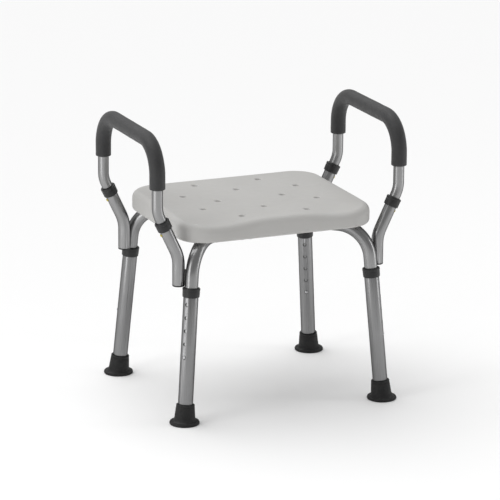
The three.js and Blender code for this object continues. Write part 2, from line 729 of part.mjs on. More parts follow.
// The leaf spring is a folded strip: one limb behind the button, one on the far wall.
function leaf(place, way, along, near, far) {
  const t = LEAF_THICKNESS;
  const head = LEAF_LENGTH * 0.25;
  const fold = -LEAF_LENGTH * 0.75;
  const outline = new THREE.Shape();
  outline.moveTo(near, head);
  outline.lineTo(near - t, head);
  outline.lineTo(near - t, fold * 0.7);
  outline.lineTo(near - 2.5 * t, fold + t);
  outline.lineTo(2 * t - far, fold + t);
  outline.lineTo(t - far, fold * 0.7);
  outline.lineTo(t - far, head);
  outline.lineTo(-far, head);
  outline.lineTo(-far, fold * 0.7);
  outline.lineTo(1.3 * t - far, fold);
  outline.lineTo(near - 2 * t, fold);
  outline.lineTo(near, fold * 0.7);
  const geometry = new THREE.ExtrudeGeometry(outline, { depth: LEAF_WIDTH, bevelEnabled: false });
  geometry.translate(0, 0, -LEAF_WIDTH / 2);
  const side = way.clone().cross(along);
  const frame = new THREE.Matrix4().makeBasis(way, along, side).setPosition(place);
  return solid(geometry.applyMatrix4(frame));
}

// How far from a tube's axis a strip of the leaf's width may stand inside its bore.
function leafReach(bore) {
  return Math.sqrt((bore - TOUCH) ** 2 - (LEAF_WIDTH / 2) ** 2) - TOUCH;
}

// ---- materials and assembly ----------------------------------------------------------
const LOOKS = {
  plastic_seat: { color: 0xc3c1ba, roughness: 0.55, metalness: 0 },
  aluminium: { color: 0xb4b4b6, roughness: 0.35, metalness: 1 },
  foam: { color: 0x3b3b3e, roughness: 0.95, metalness: 0 },
  black_plastic: { color: 0x232324, roughness: 0.5, metalness: 0 },
  rubber: { color: 0x2a2a2b, roughness: 0.8, metalness: 0 },
  brass: { color: 0xb39a55, roughness: 0.35, metalness: 1 },
  steel: { color: 0x9a9a9c, roughness: 0.3, metalness: 1 },
};

const stool = new THREE.Group();

function addPiece(name, look, body) {
  const mesh = new THREE.Mesh(geometryOf(body), new THREE.MeshStandardMaterial(LOOKS[look]));
  mesh.name = name;
  stool.add(mesh);
}

addPiece("seat", "plastic_seat", seat());
addPiece("frame_tube_upper", "aluminium", frameTube(FRAME_LINES[0], [CORNERS[1], CORNERS[2]]));
addPiece("frame_tube_lower", "aluminium", frameTube(FRAME_LINES[1], [CORNERS[0], CORNERS[3]]));
addPiece("cross_bolt", "steel", crossBolt());
addPiece("cross_nut", "steel", crossNut());
for (const { name, place } of screwPlaces()) {
  addPiece(`seat_screw_${name}`, "steel", seatScrew(place));
}

for (const corner of CORNERS) {
  const line = FRAME_LINES[corner.sx === corner.sy ? 1 : 0];
  addPiece(`arm_socket_${corner.name}`, "aluminium", armSocket(corner));
  addPiece(`socket_web_${corner.name}`, "aluminium", socketWeb(corner, line));
  addPiece(`socket_plug_${corner.name}`, "black_plastic", socketPlug(corner));
  addPiece(`arm_collar_${corner.name}`, "black_plastic", armCollar(corner));

  const armPlace = armButtonPlace(corner);
  const armWay = armButtonWay(corner);
  const armTip = SOCKET_RADIUS + ARM_BUTTON_PROUD;
  const armFar = leafReach(ARM_RADIUS - ARM_WALL);
  const armNear = armTip - BUTTON_LENGTH - TOUCH;
  addPiece(`arm_button_${corner.name}`, "brass", button(armPlace, armWay, armTip));
  const armLeaf = leaf(armPlace, armWay, slantWay(corner), armNear, armFar);
  addPiece(`arm_leaf_spring_${corner.name}`, "steel", armLeaf);

  addPiece(`leg_tube_${corner.name}`, "aluminium", legTube(corner));
  addPiece(`leg_collar_${corner.name}`, "black_plastic", legCollar(corner));
  addPiece(`foot_${corner.name}`, "rubber", foot(corner));

  const legPlace = legHoles(corner)[LEG_HOLE_COUNT - 1];
  const legTip = LEG_RADIUS + LEG_BUTTON_PROUD;
  const legFar = leafReach(FRAME_RADIUS - FRAME_WALL);
  const legNear = legTip - BUTTON_LENGTH - TOUCH;
  addPiece(`leg_button_${corner.name}`, "steel", button(legPlace, holeWay(corner), legTip));
  const legLeaf = leaf(legPlace, holeWay(corner), legUp(corner), legNear, legFar);
  addPiece(`leg_leaf_spring_${corner.name}`, "steel", legLeaf);
}

for (const [name, sx] of [["left", -1], ["right", 1]]) {
  addPiece(`arm_tube_${name}`, "aluminium", armTube(sx));
  addPiece(`arm_grip_${name}`, "foam", armGrip(sx));
}

export default stool;
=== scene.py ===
import json
import math

import bmesh
import bpy
from mathutils import Matrix, Vector, noise

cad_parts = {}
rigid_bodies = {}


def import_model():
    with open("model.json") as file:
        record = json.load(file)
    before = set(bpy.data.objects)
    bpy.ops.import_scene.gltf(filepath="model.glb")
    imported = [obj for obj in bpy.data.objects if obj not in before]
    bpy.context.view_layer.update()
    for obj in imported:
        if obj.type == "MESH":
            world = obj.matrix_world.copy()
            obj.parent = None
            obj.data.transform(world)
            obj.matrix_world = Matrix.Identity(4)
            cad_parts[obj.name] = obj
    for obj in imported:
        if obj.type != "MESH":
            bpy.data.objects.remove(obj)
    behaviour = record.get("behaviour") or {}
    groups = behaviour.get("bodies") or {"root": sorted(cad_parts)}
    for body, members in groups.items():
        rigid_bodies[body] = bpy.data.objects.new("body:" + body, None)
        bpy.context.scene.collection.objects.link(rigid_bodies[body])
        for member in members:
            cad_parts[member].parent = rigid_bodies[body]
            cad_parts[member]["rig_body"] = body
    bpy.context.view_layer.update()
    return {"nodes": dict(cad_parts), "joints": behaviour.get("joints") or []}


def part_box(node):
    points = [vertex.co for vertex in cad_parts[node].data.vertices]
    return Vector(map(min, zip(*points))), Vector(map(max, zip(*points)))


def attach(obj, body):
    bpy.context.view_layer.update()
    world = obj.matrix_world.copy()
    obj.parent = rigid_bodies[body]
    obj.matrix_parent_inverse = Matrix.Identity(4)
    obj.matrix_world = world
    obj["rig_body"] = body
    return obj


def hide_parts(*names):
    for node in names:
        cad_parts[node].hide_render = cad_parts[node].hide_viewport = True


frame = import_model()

# ---- sizes -----------------------------------------------------------------------------
SEAT_CORNER = 0.056
SEAT_TOP_EDGE = 0.015
SEAT_BOTTOM_EDGE = 0.008
SEAT_DISH = 0.004
SEAT_CELL = 0.004
SEAT_CORNER_STEPS = 20
SEAT_TOP_STEPS = 10
SEAT_BOTTOM_STEPS = 6
SCALLOP_DEPTH = 0.008
SCALLOP_WIDTH = 0.096
SCALLOP_PLACE = 0.124
SCALLOP_REACH = 0.105
DRAIN_RADIUS = 0.003
DRAIN_DIMPLE = 0.0064
DRAIN_DEPTH = 0.003
DRAIN_THROAT = 0.0022
DRAIN_FLOOR_EDGE = 0.0014
DRAIN_LIP_DEPTH = 0.0008
DRAIN_LIP_REACH = 0.0018
DRAIN_FLARE = 0.0012
DRAIN_FLARE_EDGE = 0.0004
DRAIN_FLARE_HEIGHT = 0.003
DRAIN_INNER = Vector((0.0675, 0.117))
DRAIN_OUTER = Vector((0.119, 0.050))
VENT_RADIUS = 0.004
VENT_PLACE = 0.112
VENT_FLARE = 0.002
VENT_EDGE = 0.001
VENT_DEPTH = 0.012
CUT_PAST = 0.004  # how far a cutter runs past the surface

FRAME_RADIUS = 0.0127
FRAME_WALL = 0.0013
FRAME_SINK = 0.0025
FRAME_BEND = 0.065
CROSS_BEND = 0.060
CROSS_INNER = 0.034
CROSS_OUTER = 0.112
CROSS_GAP = 0.0005

LEG_RADIUS = 0.0143
LEG_WALL = 0.0012
LEG_TOP_DROP = 0.084
LEG_TOP_HOLE_DROP = 0.0277
LEG_HOLE_PITCH = 0.0254
LEG_HOLE_COUNT = 5
LEG_FOOT_END = 0.013
LEG_COLLAR_RADIUS = 0.017
LEG_COLLAR_LENGTH = 0.0178
LEG_COLLAR_LIP = 0.0036
LEG_COLLAR_TAPER = 0.0007
COLLAR_FOOT_INSET = 0.0006
COLLAR_FOOT_HEIGHT = 0.0008
COLLAR_GROOVE_START = 0.62  # shares of a collar's length
COLLAR_GROOVE_STEP = 0.04
COLLAR_GROOVE_DEPTH = 0.0003
COLLAR_CHAMFER = 0.0012
COLLAR_MOUTH_PLAY = 0.0002
COLLAR_SNUG = 0.00005

FOOT_HEIGHT = 0.038
FOOT_TOP_RADIUS = 0.0176
FOOT_WAIST_RADIUS = 0.020
FOOT_FLANGE_RADIUS = 0.0288
FOOT_FLANGE_THICKNESS = 0.006
FOOT_SOLE = 0.012
FOOT_CUP_RADIUS = 0.017
FOOT_CUP_DEPTH = 0.002
FOOT_CUP_SLOPE = 0.003
BOOT_START = 0.0035
BOOT_SPREAD = 0.0042
BOOT_FLARE = 0.0016
BOOT_FLARE_LOW = 0.0012
BOOT_FLARE_HIGH = 0.005
BOOT_BAND_LOW = 0.0052
BOOT_BAND_GROOVE = 0.0046
BOOT_BAND_HIGH = 0.0038
BOOT_CROWN = 0.0008
BOOT_CROWN_INSET = 0.0009
SOLE_GROOVES = (0.0195, 0.0236)
SOLE_GROOVE_SLOPE = 0.0005
SOLE_GROOVE_FLOOR = 0.0008
SOLE_GROOVE_DEPTH = 0.0007
FLANGE_CHAMFER = 0.0012
FLANGE_FOOT_HEIGHT = 0.0014
FLANGE_SHOULDER = 0.0026
FLANGE_TOP_DROP = 0.0004
FLANGE_STEP_OUTER = 0.003
FLANGE_STEP_INNER = 0.004
FLANGE_COLLAR = 0.002

SOCKET_RADIUS = 0.0118
SOCKET_WALL = 0.001
SOCKET_UPRIGHT = 0.0538
SOCKET_BEND = 0.070
SOCKET_SLANT_LENGTH = 0.078
PLUG_FLANGE = 0.0024
PLUG_DEPTH = 0.012
PLUG_RECESS = 0.0005
PLUG_RECESS_INNER = 0.55  # shares of the socket's radius
PLUG_RECESS_OUTER = 0.62
WEB_THICKNESS = 0.007
WEB_WIDTH = 0.009
WEB_EDGE = 0.0015
BEAD_RADIUS = 0.0013
BEAD_SINK = 0.85  # share of the bead's radius that lies inside the web
BEAD_START = 0.0006
BEAD_SHORTER = 0.002
BEAD_RIPPLE = 0.0021
BEAD_SWELL = 0.22  # share by which a ripple widens the bead
BEAD_SIDES = 16

ARM_RADIUS = 0.0105
ARM_WALL = 0.0012
ARM_INSERTION = 0.052
ARM_CORNER = 0.061
ARM_KINK_BEND = 0.055
ARM_COLLAR_RADIUS = 0.0147
ARM_COLLAR_LENGTH = 0.018
ARM_COLLAR_LIP = 0.0026
ARM_COLLAR_TAPER = 0.0004
GRIP_RADIUS = 0.015
GRIP_RIM = 0.0013
GRIP_STEP = 0.004
GRIP_WAVE = 0.00022
GRIP_WAVE_SCALE = 42  # noise cells per metre
GRIP_RIPPLE = 0.4 * GRIP_WAVE
GRIP_RIPPLE_SCALE = 130
GRIP_CRUSH = 0.0003
GRIP_CREASES = 22

BUTTON_RADIUS = 0.0031
BUTTON_LENGTH = 0.006
BUTTON_NOSE = 0.0017
BUTTON_NOSE_EDGE = 0.0006
BUTTON_NOSE_TIP = 0.0001
BUTTON_NOSE_OUTER = 0.78  # shares of the button's radius
BUTTON_NOSE_INNER = 0.4
LEG_BUTTON_PROUD = 0.0014
ARM_BUTTON_PROUD = 0.0022
ARM_BUTTON_DROP = 0.0248
HOLE_RADIUS = 0.0036
HOLE_FLARE = 0.0006
HOLE_EDGE = 0.0004
DRILL_REACH = 0.03
SCREW_RADIUS = 0.0026
SCREW_HEAD_RADIUS = 0.0055
SCREW_HEAD_HEIGHT = 0.0034
SCREW_CROWN = 0.7  # share of the head's radius
SCREW_CROWN_HEIGHT = 0.0022
SCREW_POINT = 0.001
RECESS_LENGTH = 0.0056
RECESS_WIDTH = 0.0011
RECESS_DEPTH = 0.003
BOLT_RADIUS = 0.003
BOLT_HEAD_RADIUS = 0.006
BOLT_HEAD_HEIGHT = 0.0036
BOLT_CROWN = 0.6  # share of the head's radius, and of its height
BOLT_ROOM = 0.0005
BOLT_TAIL_TRIM = 0.0015  # the shank ends this far above its CAD node's end
NUT_HEIGHT = 0.005
NUT_EDGE = 0.0004
NUT_DRILL_REACH = 0.02
TOUCH = 0.0003
SNUG = 0.0001  # smallest step in a profile, and the play of foam and rubber

TUBE_SIDES = 64
TUBE_RIM = 0.0003
WHOLE_RUN = 1.0  # longer than any straight run, so none is divided
BEND_STEP = math.radians(4)
BEND_STEPS_LEAST = 4
TURNED_SIDES = 72
SMALL_SIDES = 32
ROUNDING_STEPS = 4
SHARP = math.radians(32)
RIM_ANGLE = 1.0  # radians; only a tube's rims turn by more
SAME_PLACE = 1e-6
SAME_HEIGHT = 1e-5

CAMERA_TURN = math.radians(23.523)
CAMERA_TILT = math.radians(15.728)
CAMERA_ROLL = math.radians(0.489)
CAMERA_AIM = Vector((0.09433, 0.21579, 0.20875))
CAMERA_DISTANCE = 7.2058
CAMERA_CLIP = 60
LENS = 258.43
SENSOR_WIDTH = 36

WHITE = (1, 1, 1, 1)
WORLD_STRENGTH = 0.38
SUN_ENERGY = 2.2
SUN_SPREAD = math.radians(75)
SUN_TURN = (math.radians(-20), math.radians(-11), 0)
PANEL_AIM = Vector((0, 0, 0.25))
PANELS = {
    "left_panel": {"place": Vector((-1.7, -0.5, 0.6)), "size": (0.6, 1.2), "power": 6.2},
    "right_strip": {"place": Vector((1.9, -0.9, 0.6)), "size": (0.3, 1.2), "power": 5},
}
FLOOR_RADIUS = 30
FLOOR_SIDES = 96
FLOOR_COLOUR = (0.93, 0.93, 0.93)
FLOOR_ROUGHNESS = 0.9

# ---- places, from the frame --------------------------------------------------------------
JOINTS = {joint["name"]: joint for joint in frame["joints"]}
CORNERS = {
    "front_left": (-1, -1),
    "front_right": (1, -1),
    "rear_left": (-1, 1),
    "rear_right": (1, 1),
}
FRAME_ENDS = {"upper": ("front_right", "rear_left"), "lower": ("front_left", "rear_right")}
SEAT_LOW, SEAT_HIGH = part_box("seat")
SEAT_WIDTH = SEAT_HIGH.x - SEAT_LOW.x
SEAT_DEPTH = SEAT_HIGH.y - SEAT_LOW.y
SEAT_TOP = SEAT_HIGH.z
SEAT_BOTTOM = SEAT_LOW.z
RUN_Z = SEAT_BOTTOM - FRAME_SINK
LEG_TOP_Z = RUN_Z - LEG_TOP_DROP
UP = Vector((0, 0, 1))
FLAT = Vector((1, 1, 0))  # a vector times this has no height
FRAME_SEAM = Vector((0.3, -0.4, 0.86)).normalized()
ARM_SEAM = Vector((1, 0, 0.05)).normalized()


def middle(node):
    low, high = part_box(node)
    return (low + high) / 2


def slide_way(joint):
    return Vector(JOINTS[joint]["axis"]).normalized()


def leg_up(corner):
    return -slide_way("leg_height_" + corner)


def on_leg(corner, z):
    """A point on a leg's axis; the foot's round flange stands on its lower end."""
    ground = middle("foot_" + corner) * FLAT
    up = leg_up(corner)
    return ground + up * (z / up.z)


def leg_holes(corner):
    top = on_leg(corner, LEG_TOP_Z - LEG_TOP_HOLE_DROP)
    return [top - leg_up(corner) * (LEG_HOLE_PITCH * i) for i in range(LEG_HOLE_COUNT)]


def side(corner):
    return "left" if CORNERS[corner][0] < 0 else "right"


def socket_foot(corner):
    plug_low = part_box("socket_plug_" + corner)[0]
    foot = middle("socket_plug_" + corner)
    foot.z = plug_low.z + PLUG_FLANGE + TOUCH
    return foot


def on_slant(corner, distance):
    bend = socket_foot(corner) + UP * SOCKET_UPRIGHT
    return bend + slide_way("arm_lift_" + side(corner)) * distance


def frame_corners(level):
    """The bend corners of a frame tube, from inside one leg to inside the leg across."""
    corner, other = FRAME_ENDS[level]
    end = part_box("frame_tube_upper")[0].z + FRAME_RADIUS * math.sqrt(1 - leg_up(corner).z ** 2)
    way = (on_leg(corner, RUN_Z) * FLAT).normalized()
    low = RUN_Z - 2 * FRAME_RADIUS - CROSS_GAP
    places = [
        (CROSS_OUTER, RUN_Z),
        (CROSS_INNER, low),
        (-CROSS_INNER, low),
        (-CROSS_OUTER, RUN_Z),
    ]
    dip = [way * out + UP * z for out, z in places] if level == "lower" else []
    ends = [on_leg(corner, end), on_leg(corner, RUN_Z)]
    return ends + dip + [on_leg(other, RUN_Z), on_leg(other, end)]


def arm_corners(hand):
    front, rear = "front_" + hand, "rear_" + hand
    low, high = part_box("arm_tube_" + hand)
    x = low.x + ARM_RADIUS if hand == "left" else high.x - ARM_RADIUS
    top = high.z - ARM_RADIUS
    slant = slide_way("arm_lift_" + hand)
    kink = (x - socket_foot(front).x) / slant.x
    start = SOCKET_SLANT_LENGTH - ARM_INSERTION
    ups = [Vector((x, socket_foot(c).y, top)) for c in (front, rear)]
    return [
        on_slant(front, start),
        on_slant(front, kink),
        ups[0],
        ups[1],
        on_slant(rear, kink),
        on_slant(rear, start),
    ]


def seat_top_at(x, y):
    """Height of the seat's top: a shallow dish with two thigh scallops along the front."""
    across = max(0, math.cos(math.pi * x / SEAT_WIDTH))
    deep = max(0, math.cos(math.pi * y / SEAT_DEPTH))
    away = min(1, abs(abs(x) - SCALLOP_PLACE) / SCALLOP_WIDTH)
    back = min(1, (y + SEAT_DEPTH / 2) / SCALLOP_REACH)
    fade = (1 + math.cos(math.pi * back)) / 2
    scallop = SCALLOP_DEPTH * fade * (1 + math.cos(math.pi * away)) / 2
    return SEAT_TOP - SEAT_DISH * across * deep - scallop


def drain_places():
    ring = [Vector((0, DRAIN_INNER.x)), Vector((0, -DRAIN_INNER.x))]
    for sx in (-1, 1):
        ring.append(Vector((sx * DRAIN_INNER.x, 0)))
        for sy in (-1, 1):
            ring.append(Vector((sx * DRAIN_INNER.x, sy * DRAIN_INNER.y)))
            ring.append(Vector((sx * DRAIN_OUTER.x, sy * DRAIN_OUTER.y)))
    return ring


# ---- camera and stage ----------------------------------------------------------------------
def make_camera():
    back = Vector((
        -math.sin(CAMERA_TURN) * math.cos(CAMERA_TILT),
        -math.cos(CAMERA_TURN) * math.cos(CAMERA_TILT),
        math.sin(CAMERA_TILT),
    ))
    level = Vector((math.cos(CAMERA_TURN), -math.sin(CAMERA_TURN), 0))
    upright = level.cross(-back)
    right = math.cos(CAMERA_ROLL) * level + math.sin(CAMERA_ROLL) * upright
    upward = -math.sin(CAMERA_ROLL) * level + math.cos(CAMERA_ROLL) * upright
    data = bpy.data.cameras.new("camera")
    data.lens = LENS
    data.sensor_width = SENSOR_WIDTH
    data.clip_end = CAMERA_CLIP
    camera = bpy.data.objects.new("camera", data)
    place = CAMERA_AIM + back * CAMERA_DISTANCE
    camera.matrix_world = Matrix(
        [(right[i], upward[i], back[i], place[i]) for i in range(3)] + [(0, 0, 0, 1)]
    )
    bpy.context.scene.collection.objects.link(camera)
    bpy.context.scene.camera = camera


def panel_light(name, place, size, power):
    data = bpy.data.lights.new(name, "AREA")
    data.shape = "RECTANGLE"
    data.size, data.size_y = size
    data.energy = power
    light = bpy.data.objects.new(name, data)
    light.location = place
    light.rotation_mode = "QUATERNION"
    light.rotation_quaternion = (PANEL_AIM - place).to_track_quat("-Z", "Y")
    bpy.context.scene.collection.objects.link(light)


def make_lights():
    """An even white room, a wide overhead light, and two panels that show in the tubes."""
    world = bpy.data.worlds.new("studio")
    bpy.context.scene.world = world
    world.use_nodes = True
    background = world.node_tree.nodes["Background"]
    background.inputs["Color"].default_value = WHITE
    background.inputs["Strength"].default_value = WORLD_STRENGTH
    bpy.context.scene.view_settings.view_transform = "Standard"
    data = bpy.data.lights.new("overhead", "SUN")
    data.energy = SUN_ENERGY
    data.angle = SUN_SPREAD
    overhead = bpy.data.objects.new("overhead", data)
    overhead.rotation_euler = SUN_TURN
    bpy.context.scene.collection.objects.link(overhead)
    for name, panel in PANELS.items():
        panel_light(name, **panel)


def make_floor():
    bm = bmesh.new()
    bmesh.ops.create_circle(bm, cap_ends=True, segments=FLOOR_SIDES, radius=FLOOR_RADIUS)
    floor = new_mesh_object("floor", bm)
    floor.data.materials.append(plain_material("pale_floor", FLOOR_COLOUR, FLOOR_ROUGHNESS))


# ---- materials -------------------------------------------------------------------------------
class Finish:
    """A Principled material whose patterns are built from a few kinds of node.

    Noise mostly runs from NOISE_LOW to NOISE_HIGH, so mottle and roughness spread that range.
    """

    NOISE_LOW = 0.3
    NOISE_HIGH = 0.7

    def __init__(self, name, metallic=0.0, specular=0.5):
        self.material = bpy.data.materials.new(name)
        self.material.use_nodes = True
        self.tree = self.material.node_tree
        self.shader = self.tree.nodes["Principled BSDF"]
        self.set("Metallic", metallic)
        self.set("Specular IOR Level", specular)
        self.height = None

    def set(self, socket, value):
        self.shader.inputs[socket].default_value = value

    def node(self, kind, **values):
        made = self.tree.nodes.new(kind)
        for key, value in values.items():
            setattr(made, key, value)
        return made

    def link(self, out, into):
        self.tree.links.new(out, into)

    def coords(self, stretch=(1, 1, 1), uv=False):
        source = self.node("ShaderNodeTexCoord").outputs["UV" if uv else "Object"]
        mapping = self.node("ShaderNodeMapping")
        mapping.inputs["Scale"].default_value = stretch
        self.link(source, mapping.inputs["Vector"])
        return mapping.outputs["Vector"]

    def noise(self, scale, detail=3, rough=0.5, stretch=(1, 1, 1), uv=False):
        made = self.node("ShaderNodeTexNoise")
        made.inputs["Scale"].default_value = scale
        made.inputs["Detail"].default_value = detail
        made.inputs["Roughness"].default_value = rough
        self.link(self.coords(stretch, uv), made.inputs["Vector"])
        return made.outputs["Fac"]

    def cells(self, scale, uv=False):
        made = self.node("ShaderNodeTexVoronoi")
        made.inputs["Scale"].default_value = scale
        self.link(self.coords(uv=uv), made.inputs["Vector"])
        return made.outputs["Distance"]

    def edges(self):
        """1 on worn outer edges, 0 on the flats."""
        pointed = self.node("ShaderNodeNewGeometry").outputs["Pointiness"]
        return self.spread(pointed, 0.52, 0.62, 0, 1)

    def painted_shade_mask(self, reach):
        """Ambient-occlusion mask for painted shade: 0 deep in holes and joints, 1 in the open."""
        made = self.node("ShaderNodeAmbientOcclusion", samples=8)
        made.inputs["Distance"].default_value = reach
        return self.spread(made.outputs["AO"], 0.35, 0.85, 0, 1)

    def spread(self, value, low, high, to_low, to_high):
        made = self.node("ShaderNodeMapRange")
        limits = {"From Min": low, "From Max": high, "To Min": to_low, "To Max": to_high}
        for socket, number in limits.items():
            made.inputs[socket].default_value = number
        self.link(value, made.inputs["Value"])
        return made.outputs["Result"]

    def blend(self, share, one, two):
        made = self.node("ShaderNodeMix", data_type="RGBA")
        self.link(share, made.inputs["Factor"])
        for socket, colour in (("A", one), ("B", two)):
            into = [s for s in made.inputs if s.name == socket and s.type == "RGBA"][0]
            if isinstance(colour, bpy.types.NodeSocket):
                self.link(colour, into)
            else:
                into.default_value = (*colour, 1)
        return [s for s in made.outputs if s.type == "RGBA"][0]

    def mottle(self, pattern, one, two):
        return self.blend(self.spread(pattern, self.NOISE_LOW, self.NOISE_HIGH, 0, 1), one, two)

    def colour(self, out):
        self.link(out, self.shader.inputs["Base Color"])

    def roughness(self, pattern, smoothest, roughest):
        spread = self.spread(pattern, self.NOISE_LOW, self.NOISE_HIGH, smoothest, roughest)
        self.link(spread, self.shader.inputs["Roughness"])

    def bump(self, value, height, strength=1.0):
        made = self.node("ShaderNodeBump")
        made.inputs["Strength"].default_value = strength
        made.inputs["Distance"].default_value = height
        self.link(value, made.inputs["Height"])
        if self.height is not None:
            self.link(self.height, made.inputs["Normal"])
        self.height = made.outputs["Normal"]
        self.link(self.height, self.shader.inputs["Normal"])


def plain_material(name, colour, roughness):
    finish = Finish(name)
    finish.set("Base Color", (*colour, 1))
    finish.set("Roughness", roughness)
    return finish.material


def seat_polyethylene():
    finish = Finish("seat_polyethylene", specular=0.42)
    cloud = finish.noise(9, detail=4)
    soft = finish.mottle(cloud, (0.47, 0.464, 0.450), (0.5, 0.494, 0.480))
    specks = finish.spread(finish.noise(420, detail=2), 0.66, 0.76, 0, 0.35)
    speckled = finish.blend(specks, soft, (0.40, 0.393, 0.378))
    finish.colour(finish.blend(finish.edges(), speckled, (0.54, 0.533, 0.515)))
    finish.roughness(finish.noise(60, detail=5), 0.46, 0.6)
    finish.bump(finish.noise(1300, detail=2), 0.00008, 0.5)
    finish.bump(finish.noise(160, detail=3), 0.00012, 0.35)
    finish.set("Subsurface Weight", 0.06)
    finish.set("Subsurface Radius", (0.004, 0.0036, 0.003))
    finish.set("Subsurface Scale", 1.0)
    return finish.material


def drawn_aluminium(name, tone):
    """Satin anodised tube: faint draw lines run along it, and the sheen varies a little. Painted shade
    darkens its colour deep in holes and joints.
    """
    finish = Finish(name, metallic=1.0)
    light, dark = (tone, tone, tone), (tone * 0.7, tone * 0.7, tone * 0.705)
    finish.set("Specular Tint", (0.12, 0.12, 0.12, 1))
    lines = finish.noise(900, detail=3, stretch=(1, 0.012, 1), uv=True)
    clouds = finish.noise(22, detail=4)
    drawn = finish.mottle(lines, dark, light)
    clouded = finish.blend(finish.spread(clouds, 0.35, 0.7, 0, 0.45), drawn, dark)
    worn = finish.blend(finish.edges(), clouded, (0.5, 0.5, 0.51))
    # Painted shade: ambient occlusion turns the colour nearly black deep in holes and joints.
    finish.colour(finish.blend(finish.painted_shade_mask(0.004), (0.05, 0.05, 0.05), worn))
    finish.roughness(lines, 0.26, 0.34)
    finish.bump(lines, 0.00002, 0.5)
    finish.bump(finish.noise(2600, detail=2), 0.00001, 0.4)
    return finish.material


def weld_painted_shadow():
    finish = Finish("weld_painted_shadow", metallic=1.0)
    clouds = finish.noise(260, detail=4)
    # Painted shadow: this near-black colour stands in for the shadow in the gap between socket and frame
    # tube.
    finish.colour(finish.mottle(clouds, (0.04, 0.04, 0.04), (0.12, 0.12, 0.12)))
    finish.roughness(clouds, 0.42, 0.6)
    finish.bump(finish.noise(1500, detail=3), 0.00006, 0.6)
    return finish.material


def moulded_black():
    finish = Finish("moulded_black", specular=0.45)
    cloud = finish.noise(70, detail=3)
    base = finish.mottle(cloud, (0.011, 0.011, 0.0115), (0.018, 0.018, 0.0185))
    finish.colour(finish.blend(finish.edges(), base, (0.075, 0.075, 0.078)))
    finish.roughness(finish.noise(420, detail=3), 0.38, 0.55)
    finish.bump(finish.noise(2400, detail=2), 0.00005, 0.5)
    return finish.material


def foot_rubber():
    finish = Finish("foot_rubber", specular=0.35)
    dust = finish.spread(finish.noise(45, detail=5, rough=0.6), 0.45, 0.75, 0, 0.5)
    base = finish.blend(dust, (0.011, 0.011, 0.0112), (0.024, 0.0235, 0.023))
    finish.colour(finish.blend(finish.edges(), base, (0.060, 0.060, 0.060)))
    finish.roughness(finish.noise(300, detail=3), 0.55, 0.75)
    finish.bump(finish.noise(1800, detail=3), 0.00008, 0.5)
    return finish.material


def grip_foam():
    """Closed-cell foam: fine pores over a skin that is a little uneven."""
    finish = Finish("grip_foam", specular=0.5)
    pores = finish.cells(1100)
    cloud = finish.noise(55, detail=5, rough=0.6)
    base = finish.mottle(cloud, (0.018, 0.018, 0.0188), (0.027, 0.027, 0.028))
    pored = finish.blend(finish.spread(pores, 0.0, 0.4, 0.8, 0), base, (0.008, 0.008, 0.009))
    finish.colour(pored)
    finish.roughness(cloud, 0.5, 0.68)
    finish.bump(pores, 0.0004, 0.7)
    finish.bump(finish.noise(240, detail=4), 0.0005, 0.5)
    finish.set("Sheen Weight", 0.12)
    finish.set("Sheen Roughness", 0.5)
    return finish.material


def plated(name, bright, dull, roughness):
    finish = Finish(name, metallic=1.0)
    clouds = finish.noise(500, detail=4)
    worn = finish.mottle(clouds, dull, bright)
    finish.colour(finish.blend(finish.edges(), worn, tuple(min(1, c * 1.25) for c in bright)))
    finish.roughness(clouds, roughness - 0.06, roughness + 0.08)
    finish.bump(finish.noise(3000, detail=2), 0.00002, 0.4)
    return finish.material


MATERIALS = {
    "seat_plastic": seat_polyethylene(),
    "aluminium_tube": drawn_aluminium("drawn_aluminium", 0.37),
    "leg": drawn_aluminium("leg_aluminium", 0.275),
    "weld": weld_painted_shadow(),
    "black_plastic": moulded_black(),
    "rubber_foot": foot_rubber(),
    "foam_grip": grip_foam(),
    "brass_button": plated("yellow_brass", (0.60, 0.50, 0.12), (0.38, 0.31, 0.06), 0.3),
    "steel_button": plated("plated_button", (0.6, 0.6, 0.61), (0.42, 0.42, 0.43), 0.28),
    "spring_steel": plated("spring_strip", (0.5, 0.5, 0.52), (0.34, 0.34, 0.36), 0.36),
    "screw_steel": plated("zinc_screw", (0.62, 0.62, 0.63), (0.45, 0.45, 0.46), 0.32),
}


# ---- shaping ---------------------------------------------------------------------------------
def new_mesh_object(name, bm):
    mesh = bpy.data.meshes.new(name)
    bm.to_mesh(mesh)
    bm.free()
    made = bpy.data.objects.new(name, mesh)
    bpy.context.scene.collection.objects.link(made)
    return made


def boolean(piece, others, operation):
    """Cuts other closed meshes out of a piece, or joins them on, and keeps the result as its mesh."""
    for other in others:
        change = piece.modifiers.new("change", "BOOLEAN")
        change.operation = operation
        change.solver = "MANIFOLD"
        change.object = other
    shown = piece.evaluated_get(bpy.context.evaluated_depsgraph_get())
    mesh = bpy.data.meshes.new_from_object(shown)
    piece.modifiers.clear()
    piece.data = mesh
    for other in others:
        bpy.data.objects.remove(other)


def finish_piece(piece, node, slot, material=None):
    """Makes a piece ride where its CAD node rides, stand for it and take its finish."""
    mesh = piece.data
    mesh.materials.clear()
    mesh.materials.append(material or MATERIALS[slot])
    mesh.polygons.foreach_set("use_smooth", [True] * len(mesh.polygons))
    mesh.polygons.foreach_set("material_index", [0] * len(mesh.polygons))
    mesh.set_sharp_from_angle(angle=SHARP)
    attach(piece, frame["nodes"][node]["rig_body"])
    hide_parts(node)


def soften(bm, geom, offset, segments, affect="EDGES"):
    bmesh.ops.bevel(
        bm, geom=geom, offset=offset, segments=segments, profile=0.5, affect=affect, material=-1
    )


def ring_edges(verts):
    inside = set(verts)
    edges = {edge for vert in verts for edge in vert.link_edges}
    return [edge for edge in edges if edge.verts[0] in inside and edge.verts[1] in inside]


def turning(way):
    return way.to_track_quat("Z", "Y").to_matrix().to_4x4()


